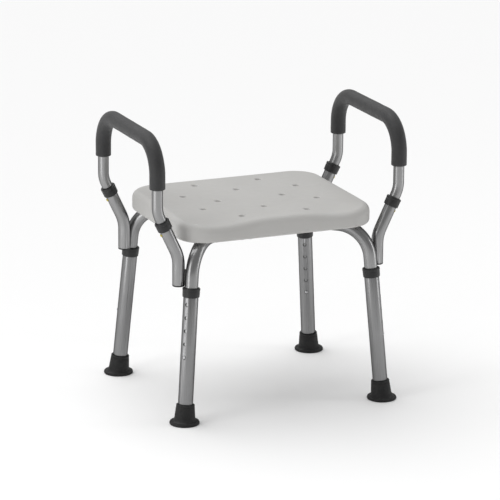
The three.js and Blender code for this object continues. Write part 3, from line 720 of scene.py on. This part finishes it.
def stretches(corners, bends):
    """Each straight run's end with the centre, axis and angle of the bend after it."""
    found = []
    for before, corner, after, radius in zip(corners, corners[1:], corners[2:], bends):
        came = (corner - before).normalized()
        goes = (after - corner).normalized()
        turn = came.angle(goes)
        start = corner - came * (radius * math.tan(turn / 2))
        axis = came.cross(goes).normalized()
        found.append((start, start + axis.cross(came) * radius, axis, turn))
    found.append((corners[-1], None, None, 0))
    return found


def sweep_ring(bm, corners, bends, radius, run_step, sides):
    """Draws one round skin along a bent line, and returns the edges of its two open ends."""
    way = (corners[1] - corners[0]).normalized()
    place = Matrix.Translation(corners[0]) @ turning(way)
    verts = bmesh.ops.create_circle(bm, segments=sides, radius=radius, matrix=place)["verts"]
    first = edges = ring_edges(verts)
    here = corners[0]
    for run_end, centre, axis, turn in stretches(corners, bends):
        run = run_end - here
        count = max(1, round(run.length / run_step))
        for _ in range(count):
            made = bmesh.ops.extrude_edge_only(bm, edges=edges)["geom"]
            verts = [item for item in made if isinstance(item, bmesh.types.BMVert)]
            bmesh.ops.translate(bm, verts=verts, vec=run / count)
            edges = ring_edges(verts)
        if centre is None:
            return first, edges
        steps = max(BEND_STEPS_LEAST, math.ceil(turn / BEND_STEP))
        made = bmesh.ops.spin(
            bm, geom=edges, cent=centre, axis=axis, angle=turn, steps=steps, use_merge=False
        )["geom_last"]
        verts = [item for item in made if isinstance(item, bmesh.types.BMVert)]
        edges = ring_edges(verts)
        here = sum((vert.co for vert in verts), Vector()) / len(verts)


def bar(corners, bends, radius, run_step=WHOLE_RUN, sides=TUBE_SIDES):
    """A solid round bar along a bent line."""
    bm = bmesh.new()
    first, last = sweep_ring(bm, corners, bends, radius, run_step, sides)
    for edges in (first, last):
        bmesh.ops.edgeloop_fill(bm, edges=edges)
    bmesh.ops.recalc_face_normals(bm, faces=bm.faces)
    return bm


def tube(corners, bends, radius, wall, rim=TUBE_RIM, run_step=WHOLE_RUN):
    """An open tube with a real wall and softened rims along a bent line."""
    bm = bmesh.new()
    sweep_ring(bm, corners, bends, radius, run_step, TUBE_SIDES)
    bmesh.ops.recalc_face_normals(bm, faces=bm.faces)
    bmesh.ops.solidify(bm, geom=bm.faces[:], thickness=wall)
    bmesh.ops.recalc_face_normals(bm, faces=bm.faces)
    rims = [edge for edge in bm.edges if edge.calc_face_angle(0) > RIM_ANGLE]
    soften(bm, rims, rim, 3)
    return bm


def wrap_uv(piece, corners, bends, side_way):
    """A UV map that follows a tube: u runs round it and v along it, in metres."""
    parts, length, here = [], 0.0, corners[0]
    for run_end, centre, axis, turn in stretches(corners, bends):
        parts.append((here, run_end, None, None, length))
        length += (run_end - here).length
        if centre is not None:
            parts.append((centre, run_end, axis, turn, length))
            length += turn * (run_end - centre).length
            here = centre + Matrix.Rotation(turn, 3, axis) @ (run_end - centre)
    found = [nearest_on_line(parts, vert.co, side_way) for vert in piece.data.vertices]
    layers = piece.data.uv_layers
    layer = layers[0] if layers else layers.new(name="along_tube")
    for face in piece.data.polygons:
        first = found[face.vertices[0]][0]
        for loop in face.loop_indices:
            around, along = found[piece.data.loops[loop].vertex_index]
            around -= 2 * math.pi * round((around - first) / (2 * math.pi))
            layer.data[loop].uv = (around * GRIP_RADIUS, along)


def nearest_on_line(parts, co, side_way):
    """The angle round a bent line and the length along it, for a point near it."""
    best = None
    for start, end, axis, turn, length in parts:
        if axis is None:
            run = end - start
            share = min(1, max(0, (co - start).dot(run) / run.length_squared))
            off, way, along = co - start - run * share, run, length + run.length * share
        else:
            arm = end - start
            flat = co - start
            flat -= axis * flat.dot(axis)
            angle = min(turn, max(0, math.atan2(axis.dot(arm.cross(flat)), arm.dot(flat))))
            spun = Matrix.Rotation(angle, 3, axis) @ arm
            off, way, along = co - start - spun, axis.cross(spun), length + arm.length * angle
        if best is None or off.length_squared < best[0]:
            best = (off.length_squared, off, way.normalized(), along)
    off, way, along = best[1:]
    across = (side_way - way * side_way.dot(way)).normalized()
    return math.atan2(off.dot(way.cross(across)), off.dot(across)), along


def turned(profile, base, way, sides=TURNED_SIDES, closed=False):
    """Turns a profile round an axis. Its points are (radius, height), or
    (radius, height, rounding) where that point is softened."""
    bm = bmesh.new()
    verts = [bm.verts.new((point[0], 0, point[1])) for point in profile]
    links = list(zip(verts, verts[1:])) + ([(verts[-1], verts[0])] if closed else [])
    for a, b in links:
        bm.edges.new((a, b))
    for vert, point in zip(verts, profile):
        if len(point) > 2:
            soften(bm, [vert], point[2], ROUNDING_STEPS, "VERTICES")
    bmesh.ops.spin(
        bm, geom=bm.verts[:] + bm.edges[:], cent=(0, 0, 0), axis=(0, 0, 1), angle=2 * math.pi,
        steps=sides, use_merge=True,
    )
    bmesh.ops.remove_doubles(bm, verts=bm.verts, dist=SAME_PLACE)
    bmesh.ops.recalc_face_normals(bm, faces=bm.faces)
    bmesh.ops.transform(bm, matrix=Matrix.Translation(base) @ turning(way), verts=bm.verts)
    return bm


# ---- seat ------------------------------------------------------------------------------------
def seat_blank():
    """The moulding before its holes: a rounded slab cut into fine cells, then dished on top."""
    bm = bmesh.new()
    centre = (SEAT_LOW + SEAT_HIGH) / 2
    size = SEAT_HIGH - SEAT_LOW
    shape = Matrix.Translation(centre) @ Matrix.Diagonal((*size, 1))
    bmesh.ops.create_cube(bm, size=1, matrix=shape)
    uprights = [e for e in bm.edges if abs(e.verts[0].co.z - e.verts[1].co.z) > size.z / 2]
    soften(bm, uprights, SEAT_CORNER, SEAT_CORNER_STEPS)
    faces = (
        (SEAT_TOP, SEAT_TOP_EDGE, SEAT_TOP_STEPS),
        (SEAT_BOTTOM, SEAT_BOTTOM_EDGE, SEAT_BOTTOM_STEPS),
    )
    for height, edge, segments in faces:
        rim = [e for e in bm.edges if all(abs(v.co.z - height) < SAME_HEIGHT for v in e.verts)]
        soften(bm, rim, edge, segments)
    for axis, width in ((Vector((1, 0, 0)), size.x), (Vector((0, 1, 0)), size.y)):
        cells = round(width / SEAT_CELL)
        for i in range(1, cells):
            place = axis * (width * (i / cells - 0.5))
            geom = bm.verts[:] + bm.edges[:] + bm.faces[:]
            bmesh.ops.bisect_plane(bm, geom=geom, plane_co=place, plane_no=axis, dist=SAME_PLACE)
    low = SEAT_BOTTOM + SEAT_BOTTOM_EDGE
    high = SEAT_TOP - SEAT_TOP_EDGE
    for vert in bm.verts:
        share = min(1, max(0, (vert.co.z - low) / (high - low)))
        vert.co.z += share * (seat_top_at(vert.co.x, vert.co.y) - SEAT_TOP)
    bmesh.ops.recalc_face_normals(bm, faces=bm.faces)
    return bm


def drain_cutter(place):
    """A drain: a soft dimple in the top, a round hole, and a flare where it leaves below."""
    top = seat_top_at(place.x, place.y)
    flare = DRAIN_RADIUS + DRAIN_FLARE
    profile = [
        (0, SEAT_BOTTOM - CUT_PAST),
        (flare + DRAIN_FLARE_HEIGHT, SEAT_BOTTOM - CUT_PAST),
        (flare, SEAT_BOTTOM + DRAIN_FLARE_EDGE, 0.0008),
        (DRAIN_RADIUS, SEAT_BOTTOM + DRAIN_FLARE_HEIGHT),
        (DRAIN_RADIUS, top - DRAIN_DEPTH - DRAIN_THROAT, 0.0008),
        (DRAIN_DIMPLE - DRAIN_FLOOR_EDGE, top - DRAIN_DEPTH, 0.001),
        (DRAIN_DIMPLE - 2 * SNUG, top - DRAIN_LIP_DEPTH, 0.0007),
        (DRAIN_DIMPLE + DRAIN_LIP_REACH, top + SNUG),
        (DRAIN_DIMPLE + CUT_PAST, top + CUT_PAST),
        (0, top + CUT_PAST),
    ]
    return new_mesh_object("drain", turned(profile, Vector((*place, 0)), UP, SMALL_SIDES))


def make_seat():
    seat = new_mesh_object("seat_moulding", seat_blank())
    cutters = [drain_cutter(place) for place in drain_places()]
    for corners, bends in FRAME_LINES.values():
        cutters.append(new_mesh_object("groove", bar(corners, bends, FRAME_RADIUS + TOUCH)))
    head = RUN_Z + FRAME_RADIUS + BOLT_HEAD_HEIGHT + 2 * TOUCH
    room = BOLT_HEAD_RADIUS + BOLT_ROOM
    dome = [(0, RUN_Z), (room, RUN_Z), (room, head, 0.001), (0, head)]
    cutters.append(new_mesh_object("bolt_room", turned(dome, Vector(), UP, SMALL_SIDES)))
    vent = [
        (0, -VENT_FLARE),
        (VENT_RADIUS + VENT_FLARE, -VENT_FLARE),
        (VENT_RADIUS, VENT_EDGE),
        (VENT_RADIUS, VENT_DEPTH),
        (0, VENT_DEPTH),
    ]
    vent_place = Vector((0, -VENT_PLACE, SEAT_BOTTOM))
    cutters.append(new_mesh_object("vent", turned(vent, vent_place, UP, SMALL_SIDES)))
    boolean(seat, cutters, "DIFFERENCE")
    finish_piece(seat, "seat", "seat_plastic")


# ---- frame -----------------------------------------------------------------------------------
FRAME_LINES = {
    "upper": (frame_corners("upper"), [FRAME_BEND, FRAME_BEND]),
    "lower": (frame_corners("lower"), [FRAME_BEND] + 4 * [CROSS_BEND] + [FRAME_BEND]),
}


def hole_cutter(place, way, surface):
    """A drill for a tube's wall that leaves a small softened edge at the surface."""
    wide = HOLE_RADIUS + HOLE_FLARE
    profile = [
        (0, 0),
        (HOLE_RADIUS, 0),
        (HOLE_RADIUS, surface - HOLE_EDGE),
        (wide, surface + HOLE_EDGE / 2),
        (wide, DRILL_REACH),
        (0, DRILL_REACH),
    ]
    return new_mesh_object("drill", turned(profile, place, way, SMALL_SIDES))


def make_frame_tube(level):
    corners, bends = FRAME_LINES[level]
    piece = new_mesh_object(level + "_frame_tube", tube(corners, bends, FRAME_RADIUS, FRAME_WALL))
    drills = []
    for corner in FRAME_ENDS[level]:
        way = -slide_way("leg_button_press_" + corner)
        drills.append(hole_cutter(leg_holes(corner)[-1], way, FRAME_RADIUS))
    boolean(piece, drills, "DIFFERENCE")
    wrap_uv(piece, corners, bends, FRAME_SEAM)
    finish_piece(piece, "frame_tube_" + level, "aluminium_tube")


def make_cross_bolt():
    top = RUN_Z + FRAME_RADIUS + TOUCH
    shank_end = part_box("cross_bolt")[0].z + BOLT_TAIL_TRIM
    crown = BOLT_HEAD_RADIUS * BOLT_CROWN
    bolt = [
        (0, shank_end),
        (BOLT_RADIUS, shank_end, 0.0005),
        (BOLT_RADIUS, top),
        (BOLT_HEAD_RADIUS, top, 0.0004),
        (BOLT_HEAD_RADIUS, top + BOLT_HEAD_HEIGHT * BOLT_CROWN, 0.0008),
        (crown, top + BOLT_HEAD_HEIGHT, 0.0006),
        (0, top + BOLT_HEAD_HEIGHT),
    ]
    piece = new_mesh_object("cross_bolt_turned", turned(bolt, Vector(), UP, SMALL_SIDES))
    finish_piece(piece, "cross_bolt", "screw_steel")


def make_cross_nut():
    top = RUN_Z - 3 * FRAME_RADIUS - CROSS_GAP - TOUCH
    place = Matrix.Translation((0, 0, top - NUT_HEIGHT / 2))
    bm = bmesh.new()
    bmesh.ops.create_cone(
        bm, cap_ends=True, segments=6, radius1=BOLT_HEAD_RADIUS, radius2=BOLT_HEAD_RADIUS,
        depth=NUT_HEIGHT, matrix=place,
    )
    soften(bm, bm.edges[:], NUT_EDGE, 2)
    nut = new_mesh_object("cross_nut_hexagon", bm)
    radius = BOLT_RADIUS + TOUCH
    bore = [
        (0, -NUT_DRILL_REACH),
        (radius, -NUT_DRILL_REACH),
        (radius, NUT_DRILL_REACH),
        (0, NUT_DRILL_REACH),
    ]
    drill = new_mesh_object("drill", turned(bore, Vector((0, 0, top)), UP, SMALL_SIDES))
    boolean(nut, [drill], "DIFFERENCE")
    finish_piece(nut, "cross_nut", "screw_steel")


def make_seat_screw(corner):
    """A pan-head screw with a cross recess, driven up through the frame tube."""
    low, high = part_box("seat_screw_" + corner)
    place = (low + high) / 2 * FLAT
    head = low.z + SCREW_HEAD_HEIGHT
    profile = [
        (0, low.z),
        (SCREW_HEAD_RADIUS * SCREW_CROWN, low.z, 0.0012),
        (SCREW_HEAD_RADIUS, low.z + SCREW_CROWN_HEIGHT, 0.0008),
        (SCREW_HEAD_RADIUS, head, 0.0002),
        (SCREW_RADIUS, head),
        (SCREW_RADIUS, high.z - SCREW_POINT, 0.0004),
        (0, high.z),
    ]
    screw = new_mesh_object(corner + "_seat_screw", turned(profile, place, UP, SMALL_SIDES))
    arms = []
    for size in ((RECESS_LENGTH, RECESS_WIDTH, RECESS_DEPTH), (RECESS_WIDTH, RECESS_LENGTH, RECESS_DEPTH)):
        bm = bmesh.new()
        shape = Matrix.Translation(place + UP * low.z) @ Matrix.Diagonal((*size, 1))
        bmesh.ops.create_cube(bm, size=1, matrix=shape)
        arms.append(new_mesh_object("recess", bm))
    boolean(screw, arms, "DIFFERENCE")
    finish_piece(screw, "seat_screw_" + corner, "screw_steel")


# ---- arm sockets -------------------------------------------------------------------------------
def socket_line(corner):
    foot = socket_foot(corner)
    return [foot, foot + UP * SOCKET_UPRIGHT, on_slant(corner, SOCKET_SLANT_LENGTH)], [SOCKET_BEND]


def make_socket(corner):
    corners, bends = socket_line(corner)
    piece = new_mesh_object(corner + "_arm_socket", tube(corners, bends, SOCKET_RADIUS, SOCKET_WALL))
    way = -slide_way("arm_button_press_" + corner)
    drill = hole_cutter(button_place(corner), way, SOCKET_RADIUS)
    boolean(piece, [drill], "DIFFERENCE")
    wrap_uv(piece, corners, bends, Vector((0, 1, 0)))
    finish_piece(piece, "arm_socket_" + corner, "aluminium_tube")


def button_place(corner):
    """Where an arm button's axis meets the tube's."""
    return on_slant(corner, SOCKET_SLANT_LENGTH + ARM_COLLAR_LIP - ARM_BUTTON_DROP)


def make_plug(corner):
    base = socket_foot(corner)
    bore = SOCKET_RADIUS - SOCKET_WALL - TOUCH
    low = -TOUCH - PLUG_FLANGE
    profile = [
        (0, low + PLUG_RECESS),
        (SOCKET_RADIUS * PLUG_RECESS_INNER, low + PLUG_RECESS, 0.0003),
        (SOCKET_RADIUS * PLUG_RECESS_OUTER, low, 0.0003),
        (SOCKET_RADIUS, low, 0.0009),
        (SOCKET_RADIUS + SNUG, -TOUCH, 0.0003),
        (bore, -TOUCH),
        (bore, PLUG_DEPTH, 0.0006),
        (0, PLUG_DEPTH),
    ]
    piece = new_mesh_object(corner + "_socket_plug", turned(profile, base, UP))
    finish_piece(piece, "socket_plug_" + corner, "black_plastic")


def make_web(corner):
    """The web between a socket and the frame tube, with a rippled weld down each side of it; the whole
    piece takes a near-black finish, a painted shadow of the gap there.
    """
    low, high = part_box("socket_web_" + corner)
    foot = socket_foot(corner)
    leg = on_leg(corner, (low.z + high.z) / 2)
    across = ((foot - leg) * FLAT).normalized()
    place = leg + across * FRAME_RADIUS
    height = high.z - low.z
    face = Matrix((across, UP.cross(across), UP)).transposed().to_4x4()
    bm = bmesh.new()
    shape = Matrix.Translation(place) @ face @ Matrix.Diagonal((WEB_WIDTH, WEB_THICKNESS, height, 1))
    bmesh.ops.create_cube(bm, size=1, matrix=shape)
    tops = [e for e in bm.edges if all(v.co.z > place.z for v in e.verts)]
    soften(bm, tops, WEB_EDGE, 5)
    web = new_mesh_object(corner + "_socket_web", bm)
    beads = []
    for turn in (-1, 1):
        aside = turn * (WEB_THICKNESS / 2 - BEAD_RADIUS * BEAD_SINK)
        start = place + face.to_3x3() @ Vector((BEAD_START, aside, -height / 2 + BEAD_START))
        beads.append(weld_bead(start, height - BEAD_SHORTER))
    boolean(web, beads, "UNION")
    level = "upper" if corner in FRAME_ENDS["upper"] else "lower"
    bars = [
        bar(*FRAME_LINES[level], FRAME_RADIUS + TOUCH / 10),
        bar(*socket_line(corner), SOCKET_RADIUS + TOUCH / 10),
    ]
    boolean(web, [new_mesh_object("bar", one) for one in bars], "DIFFERENCE")
    # Painted shadow: the web and its beads take the near-black weld finish for the shadow in the gap.
    finish_piece(web, "socket_web_" + corner, "aluminium_tube", MATERIALS["weld"])


def weld_bead(start, length):
    """A run of weld: a thin bar swollen once for every ripple."""
    bm = bar([start, start + UP * length], [], BEAD_RADIUS, BEAD_RIPPLE / 3, BEAD_SIDES)
    for vert in bm.verts:
        ripple = math.sin((vert.co.z - start.z) / BEAD_RIPPLE * math.pi) ** 2
        off = (vert.co - start) * FLAT
        vert.co += off * (BEAD_SWELL * ripple)
    return new_mesh_object("bead", bm)


def collar_profile(tube_radius, inner_radius, outer, length, lip, taper):
    """A snap-on collar: chamfered ends, a shallow waist groove and a lip over the tube's end."""
    bore = tube_radius + COLLAR_SNUG
    mouth = inner_radius + COLLAR_MOUTH_PLAY
    groove = [length * (COLLAR_GROOVE_START + COLLAR_GROOVE_STEP * i) for i in range(4)]
    return [
        (bore, 0),
        (outer - taper - COLLAR_FOOT_INSET, 0, 0.0002),
        (outer - taper, COLLAR_FOOT_HEIGHT, 0.0004),
        (outer - taper * 0.5, groove[0], 0.0003),
        (outer - taper * 0.5 - COLLAR_GROOVE_DEPTH, groove[1], 0.0003),
        (outer - taper * 0.4 - COLLAR_GROOVE_DEPTH, groove[2], 0.0003),
        (outer, groove[3], 0.0003),
        (outer, length - COLLAR_CHAMFER, 0.0006),
        (outer - COLLAR_CHAMFER, length, 0.0005),
        (mouth, length, 0.0004),
        (mouth, length - lip),
        (bore, length - lip),
    ]


def make_arm_collar(corner):
    way = slide_way("arm_lift_" + side(corner))
    base = middle("arm_collar_" + corner) - way * (ARM_COLLAR_LENGTH / 2)
    profile = collar_profile(
        SOCKET_RADIUS, ARM_RADIUS, ARM_COLLAR_RADIUS, ARM_COLLAR_LENGTH, ARM_COLLAR_LIP, ARM_COLLAR_TAPER
    )
    piece = new_mesh_object(corner + "_arm_collar", turned(profile, base, way, closed=True))
    finish_piece(piece, "arm_collar_" + corner, "black_plastic")


# ---- arms --------------------------------------------------------------------------------------
def make_arm(hand):
    corners = arm_corners(hand)
    bends = [ARM_KINK_BEND, ARM_CORNER, ARM_CORNER, ARM_KINK_BEND]
    piece = new_mesh_object(hand + "_arm_tube", tube(corners, bends, ARM_RADIUS, ARM_WALL))
    drills = []
    for corner in ("front_" + hand, "rear_" + hand):
        way = -slide_way("arm_button_press_" + corner)
        drills.append(hole_cutter(button_place(corner), way, ARM_RADIUS))
    boolean(piece, drills, "DIFFERENCE")
    wrap_uv(piece, corners, bends, ARM_SEAM)
    finish_piece(piece, "arm_tube_" + hand, "aluminium_tube")
    make_grip(hand, corners)


def make_grip(hand, arm):
    """A foam sleeve: a touch uneven, crushed inside its bends and open at its ends."""
    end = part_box("arm_grip_" + hand)[0].z
    corners = [Vector((arm[2].x, arm[2].y, end)), arm[2], arm[3], Vector((arm[3].x, arm[3].y, end))]
    bends = [ARM_CORNER, ARM_CORNER]
    wall = GRIP_RADIUS - ARM_RADIUS - SNUG
    bm = tube(corners, bends, GRIP_RADIUS, wall, GRIP_RIM, GRIP_STEP)
    centres = [part[1] for part in stretches(corners, bends)[:2]]
    axis_x = arm[2].x
    for vert in bm.verts:
        off = GRIP_WAVE * noise.noise(vert.co * GRIP_WAVE_SCALE)
        off += GRIP_RIPPLE * noise.noise(vert.co * GRIP_RIPPLE_SCALE)
        for centre in centres:
            flat = (vert.co - centre) * Vector((0, 1, 1))
            in_bend = flat.y * centre.y > 0 and flat.z > 0
            if in_bend and flat.length < ARM_CORNER - ARM_RADIUS:
                angle = math.atan2(flat.z, abs(flat.y))
                crease = math.sin(2 * angle) * (0.5 + 0.5 * math.cos(angle * GRIP_CREASES))
                off += GRIP_CRUSH * crease * (1 - abs(vert.co.x - axis_x) / GRIP_RADIUS)
        vert.co += vert.normal * off
    piece = new_mesh_object(hand + "_foam_grip", bm)
    wrap_uv(piece, corners, bends, ARM_SEAM)
    finish_piece(piece, "arm_grip_" + hand, "foam_grip")


# ---- legs --------------------------------------------------------------------------------------
def make_leg_tube(corner):
    corners = [on_leg(corner, LEG_FOOT_END), on_leg(corner, LEG_TOP_Z)]
    piece = new_mesh_object(corner + "_leg_tube", tube(corners, [], LEG_RADIUS, LEG_WALL))
    way = -slide_way("leg_button_press_" + corner)
    drills = [hole_cutter(hole, way, LEG_RADIUS) for hole in leg_holes(corner)]
    boolean(piece, drills, "DIFFERENCE")
    wrap_uv(piece, corners, [], Vector((1, 0, 0)))
    finish_piece(piece, "leg_tube_" + corner, "aluminium_tube", MATERIALS["leg"])


def make_leg_collar(corner):
    up = leg_up(corner)
    base = on_leg(corner, LEG_TOP_Z + LEG_COLLAR_LIP) - up * LEG_COLLAR_LENGTH
    profile = collar_profile(
        LEG_RADIUS, FRAME_RADIUS, LEG_COLLAR_RADIUS, LEG_COLLAR_LENGTH, LEG_COLLAR_LIP, LEG_COLLAR_TAPER
    )
    piece = new_mesh_object(corner + "_leg_collar", turned(profile, base, up, closed=True))
    finish_piece(piece, "leg_collar_" + corner, "black_plastic")


def boot_profile():
    """The boot that holds the leg: it flares into the flange and has a band round its top."""
    bore = LEG_RADIUS + SNUG
    flange_top = FOOT_FLANGE_THICKNESS
    return [
        (0, BOOT_START),
        (FOOT_WAIST_RADIUS + BOOT_SPREAD, BOOT_START),
        (FOOT_WAIST_RADIUS + BOOT_FLARE, flange_top + BOOT_FLARE_LOW, 0.0012),
        (FOOT_WAIST_RADIUS, flange_top + BOOT_FLARE_HIGH, 0.0012),
        (FOOT_TOP_RADIUS + 4 * SNUG, FOOT_HEIGHT - BOOT_BAND_LOW, 0.0008),
        (FOOT_TOP_RADIUS - 2 * SNUG, FOOT_HEIGHT - BOOT_BAND_GROOVE, 0.0003),
        (FOOT_TOP_RADIUS + 3 * SNUG, FOOT_HEIGHT - BOOT_BAND_HIGH, 0.0005),
        (FOOT_TOP_RADIUS + SNUG, FOOT_HEIGHT - BOOT_CROWN, 0.0006),
        (FOOT_TOP_RADIUS - BOOT_CROWN_INSET, FOOT_HEIGHT, 0.0004),
        (bore, FOOT_HEIGHT, 0.0004),
        (bore, FOOT_SOLE),
        (0, FOOT_SOLE),
    ]


def flange_profile():
    """The flange that lies on the floor: a hollow middle, two grooves and a stepped top."""
    rim = FOOT_FLANGE_RADIUS
    top = FOOT_FLANGE_THICKNESS
    profile = [
        (0, FOOT_CUP_DEPTH),
        (FOOT_CUP_RADIUS - FOOT_CUP_SLOPE, FOOT_CUP_DEPTH, 0.0006),
        (FOOT_CUP_RADIUS, 0, 0.0003),
    ]
    for start in SOLE_GROOVES:
        floor_start = start + SOLE_GROOVE_SLOPE
        floor_end = floor_start + SOLE_GROOVE_FLOOR
        profile.append((start, 0, 0.0002))
        profile.append((floor_start, SOLE_GROOVE_DEPTH, 0.0002))
        profile.append((floor_end, SOLE_GROOVE_DEPTH, 0.0002))
        profile.append((floor_end + SOLE_GROOVE_SLOPE, 0, 0.0002))
    return profile + [
        (rim - FLANGE_CHAMFER, 0, 0.0006),
        (rim, FLANGE_FOOT_HEIGHT, 0.0008),
        (rim, top - FLANGE_SHOULDER, 0.0008),
        (rim - FLANGE_CHAMFER, top - FLANGE_TOP_DROP, 0.0006),
        (rim - FLANGE_STEP_OUTER, top - FLANGE_TOP_DROP, 0.0007),
        (rim - FLANGE_STEP_INNER, top - FLANGE_CHAMFER, 0.0006),
        (FOOT_WAIST_RADIUS + FLANGE_COLLAR, top + FLANGE_TOP_DROP, 0.001),
        (0, top + FLANGE_COLLAR),
    ]


def make_foot(corner):
    """A rubber boot that leans with its leg, on a round flange that lies flat."""
    ground = on_leg(corner, 0)
    piece = new_mesh_object(corner + "_rubber_foot", turned(boot_profile(), ground, leg_up(corner)))
    flange = new_mesh_object("flange", turned(flange_profile(), ground, UP))
    boolean(piece, [flange], "UNION")
    finish_piece(piece, "foot_" + corner, "rubber_foot")


# ---- snap buttons --------------------------------------------------------------------------------
def make_button(node, joint, tube_place, tip, slot):
    """A round-nosed button that is pressed in along its own axis."""
    way = -slide_way(joint)
    base = tube_place + way * (tip - BUTTON_LENGTH)
    profile = [
        (0, 0),
        (BUTTON_RADIUS, 0),
        (BUTTON_RADIUS, BUTTON_LENGTH - BUTTON_NOSE, 0.0006),
        (BUTTON_RADIUS * BUTTON_NOSE_OUTER, BUTTON_LENGTH - BUTTON_NOSE_EDGE, 0.0006),
        (BUTTON_RADIUS * BUTTON_NOSE_INNER, BUTTON_LENGTH - BUTTON_NOSE_TIP, 0.0004),
        (0, BUTTON_LENGTH),
    ]
    piece = new_mesh_object(node + "_nose", turned(profile, base, way, SMALL_SIDES))
    finish_piece(piece, node, slot)


def make_buttons(corner):
    node = "arm_button_" + corner
    tip = SOCKET_RADIUS + ARM_BUTTON_PROUD
    make_button(node, "arm_button_press_" + corner, button_place(corner), tip, "brass_button")
    node = "leg_button_" + corner
    tip = LEG_RADIUS + LEG_BUTTON_PROUD
    make_button(node, "leg_button_press_" + corner, leg_holes(corner)[-1], tip, "steel_button")


def finish_leaf_springs():
    for name, node in frame["nodes"].items():
        if "leaf_spring" in name:
            node.data.materials.clear()
            node.data.materials.append(MATERIALS["spring_steel"])


# ---- build ---------------------------------------------------------------------------------------
make_camera()
make_lights()
make_floor()
make_seat()
for level in FRAME_LINES:
    make_frame_tube(level)
make_cross_bolt()
make_cross_nut()
for corner in CORNERS:
    make_seat_screw(corner)
    make_socket(corner)
    make_plug(corner)
    make_web(corner)
    make_arm_collar(corner)
    make_leg_tube(corner)
    make_leg_collar(corner)
    make_foot(corner)
    make_buttons(corner)
for hand in ("left", "right"):
    make_arm(hand)
finish_leaf_springs()
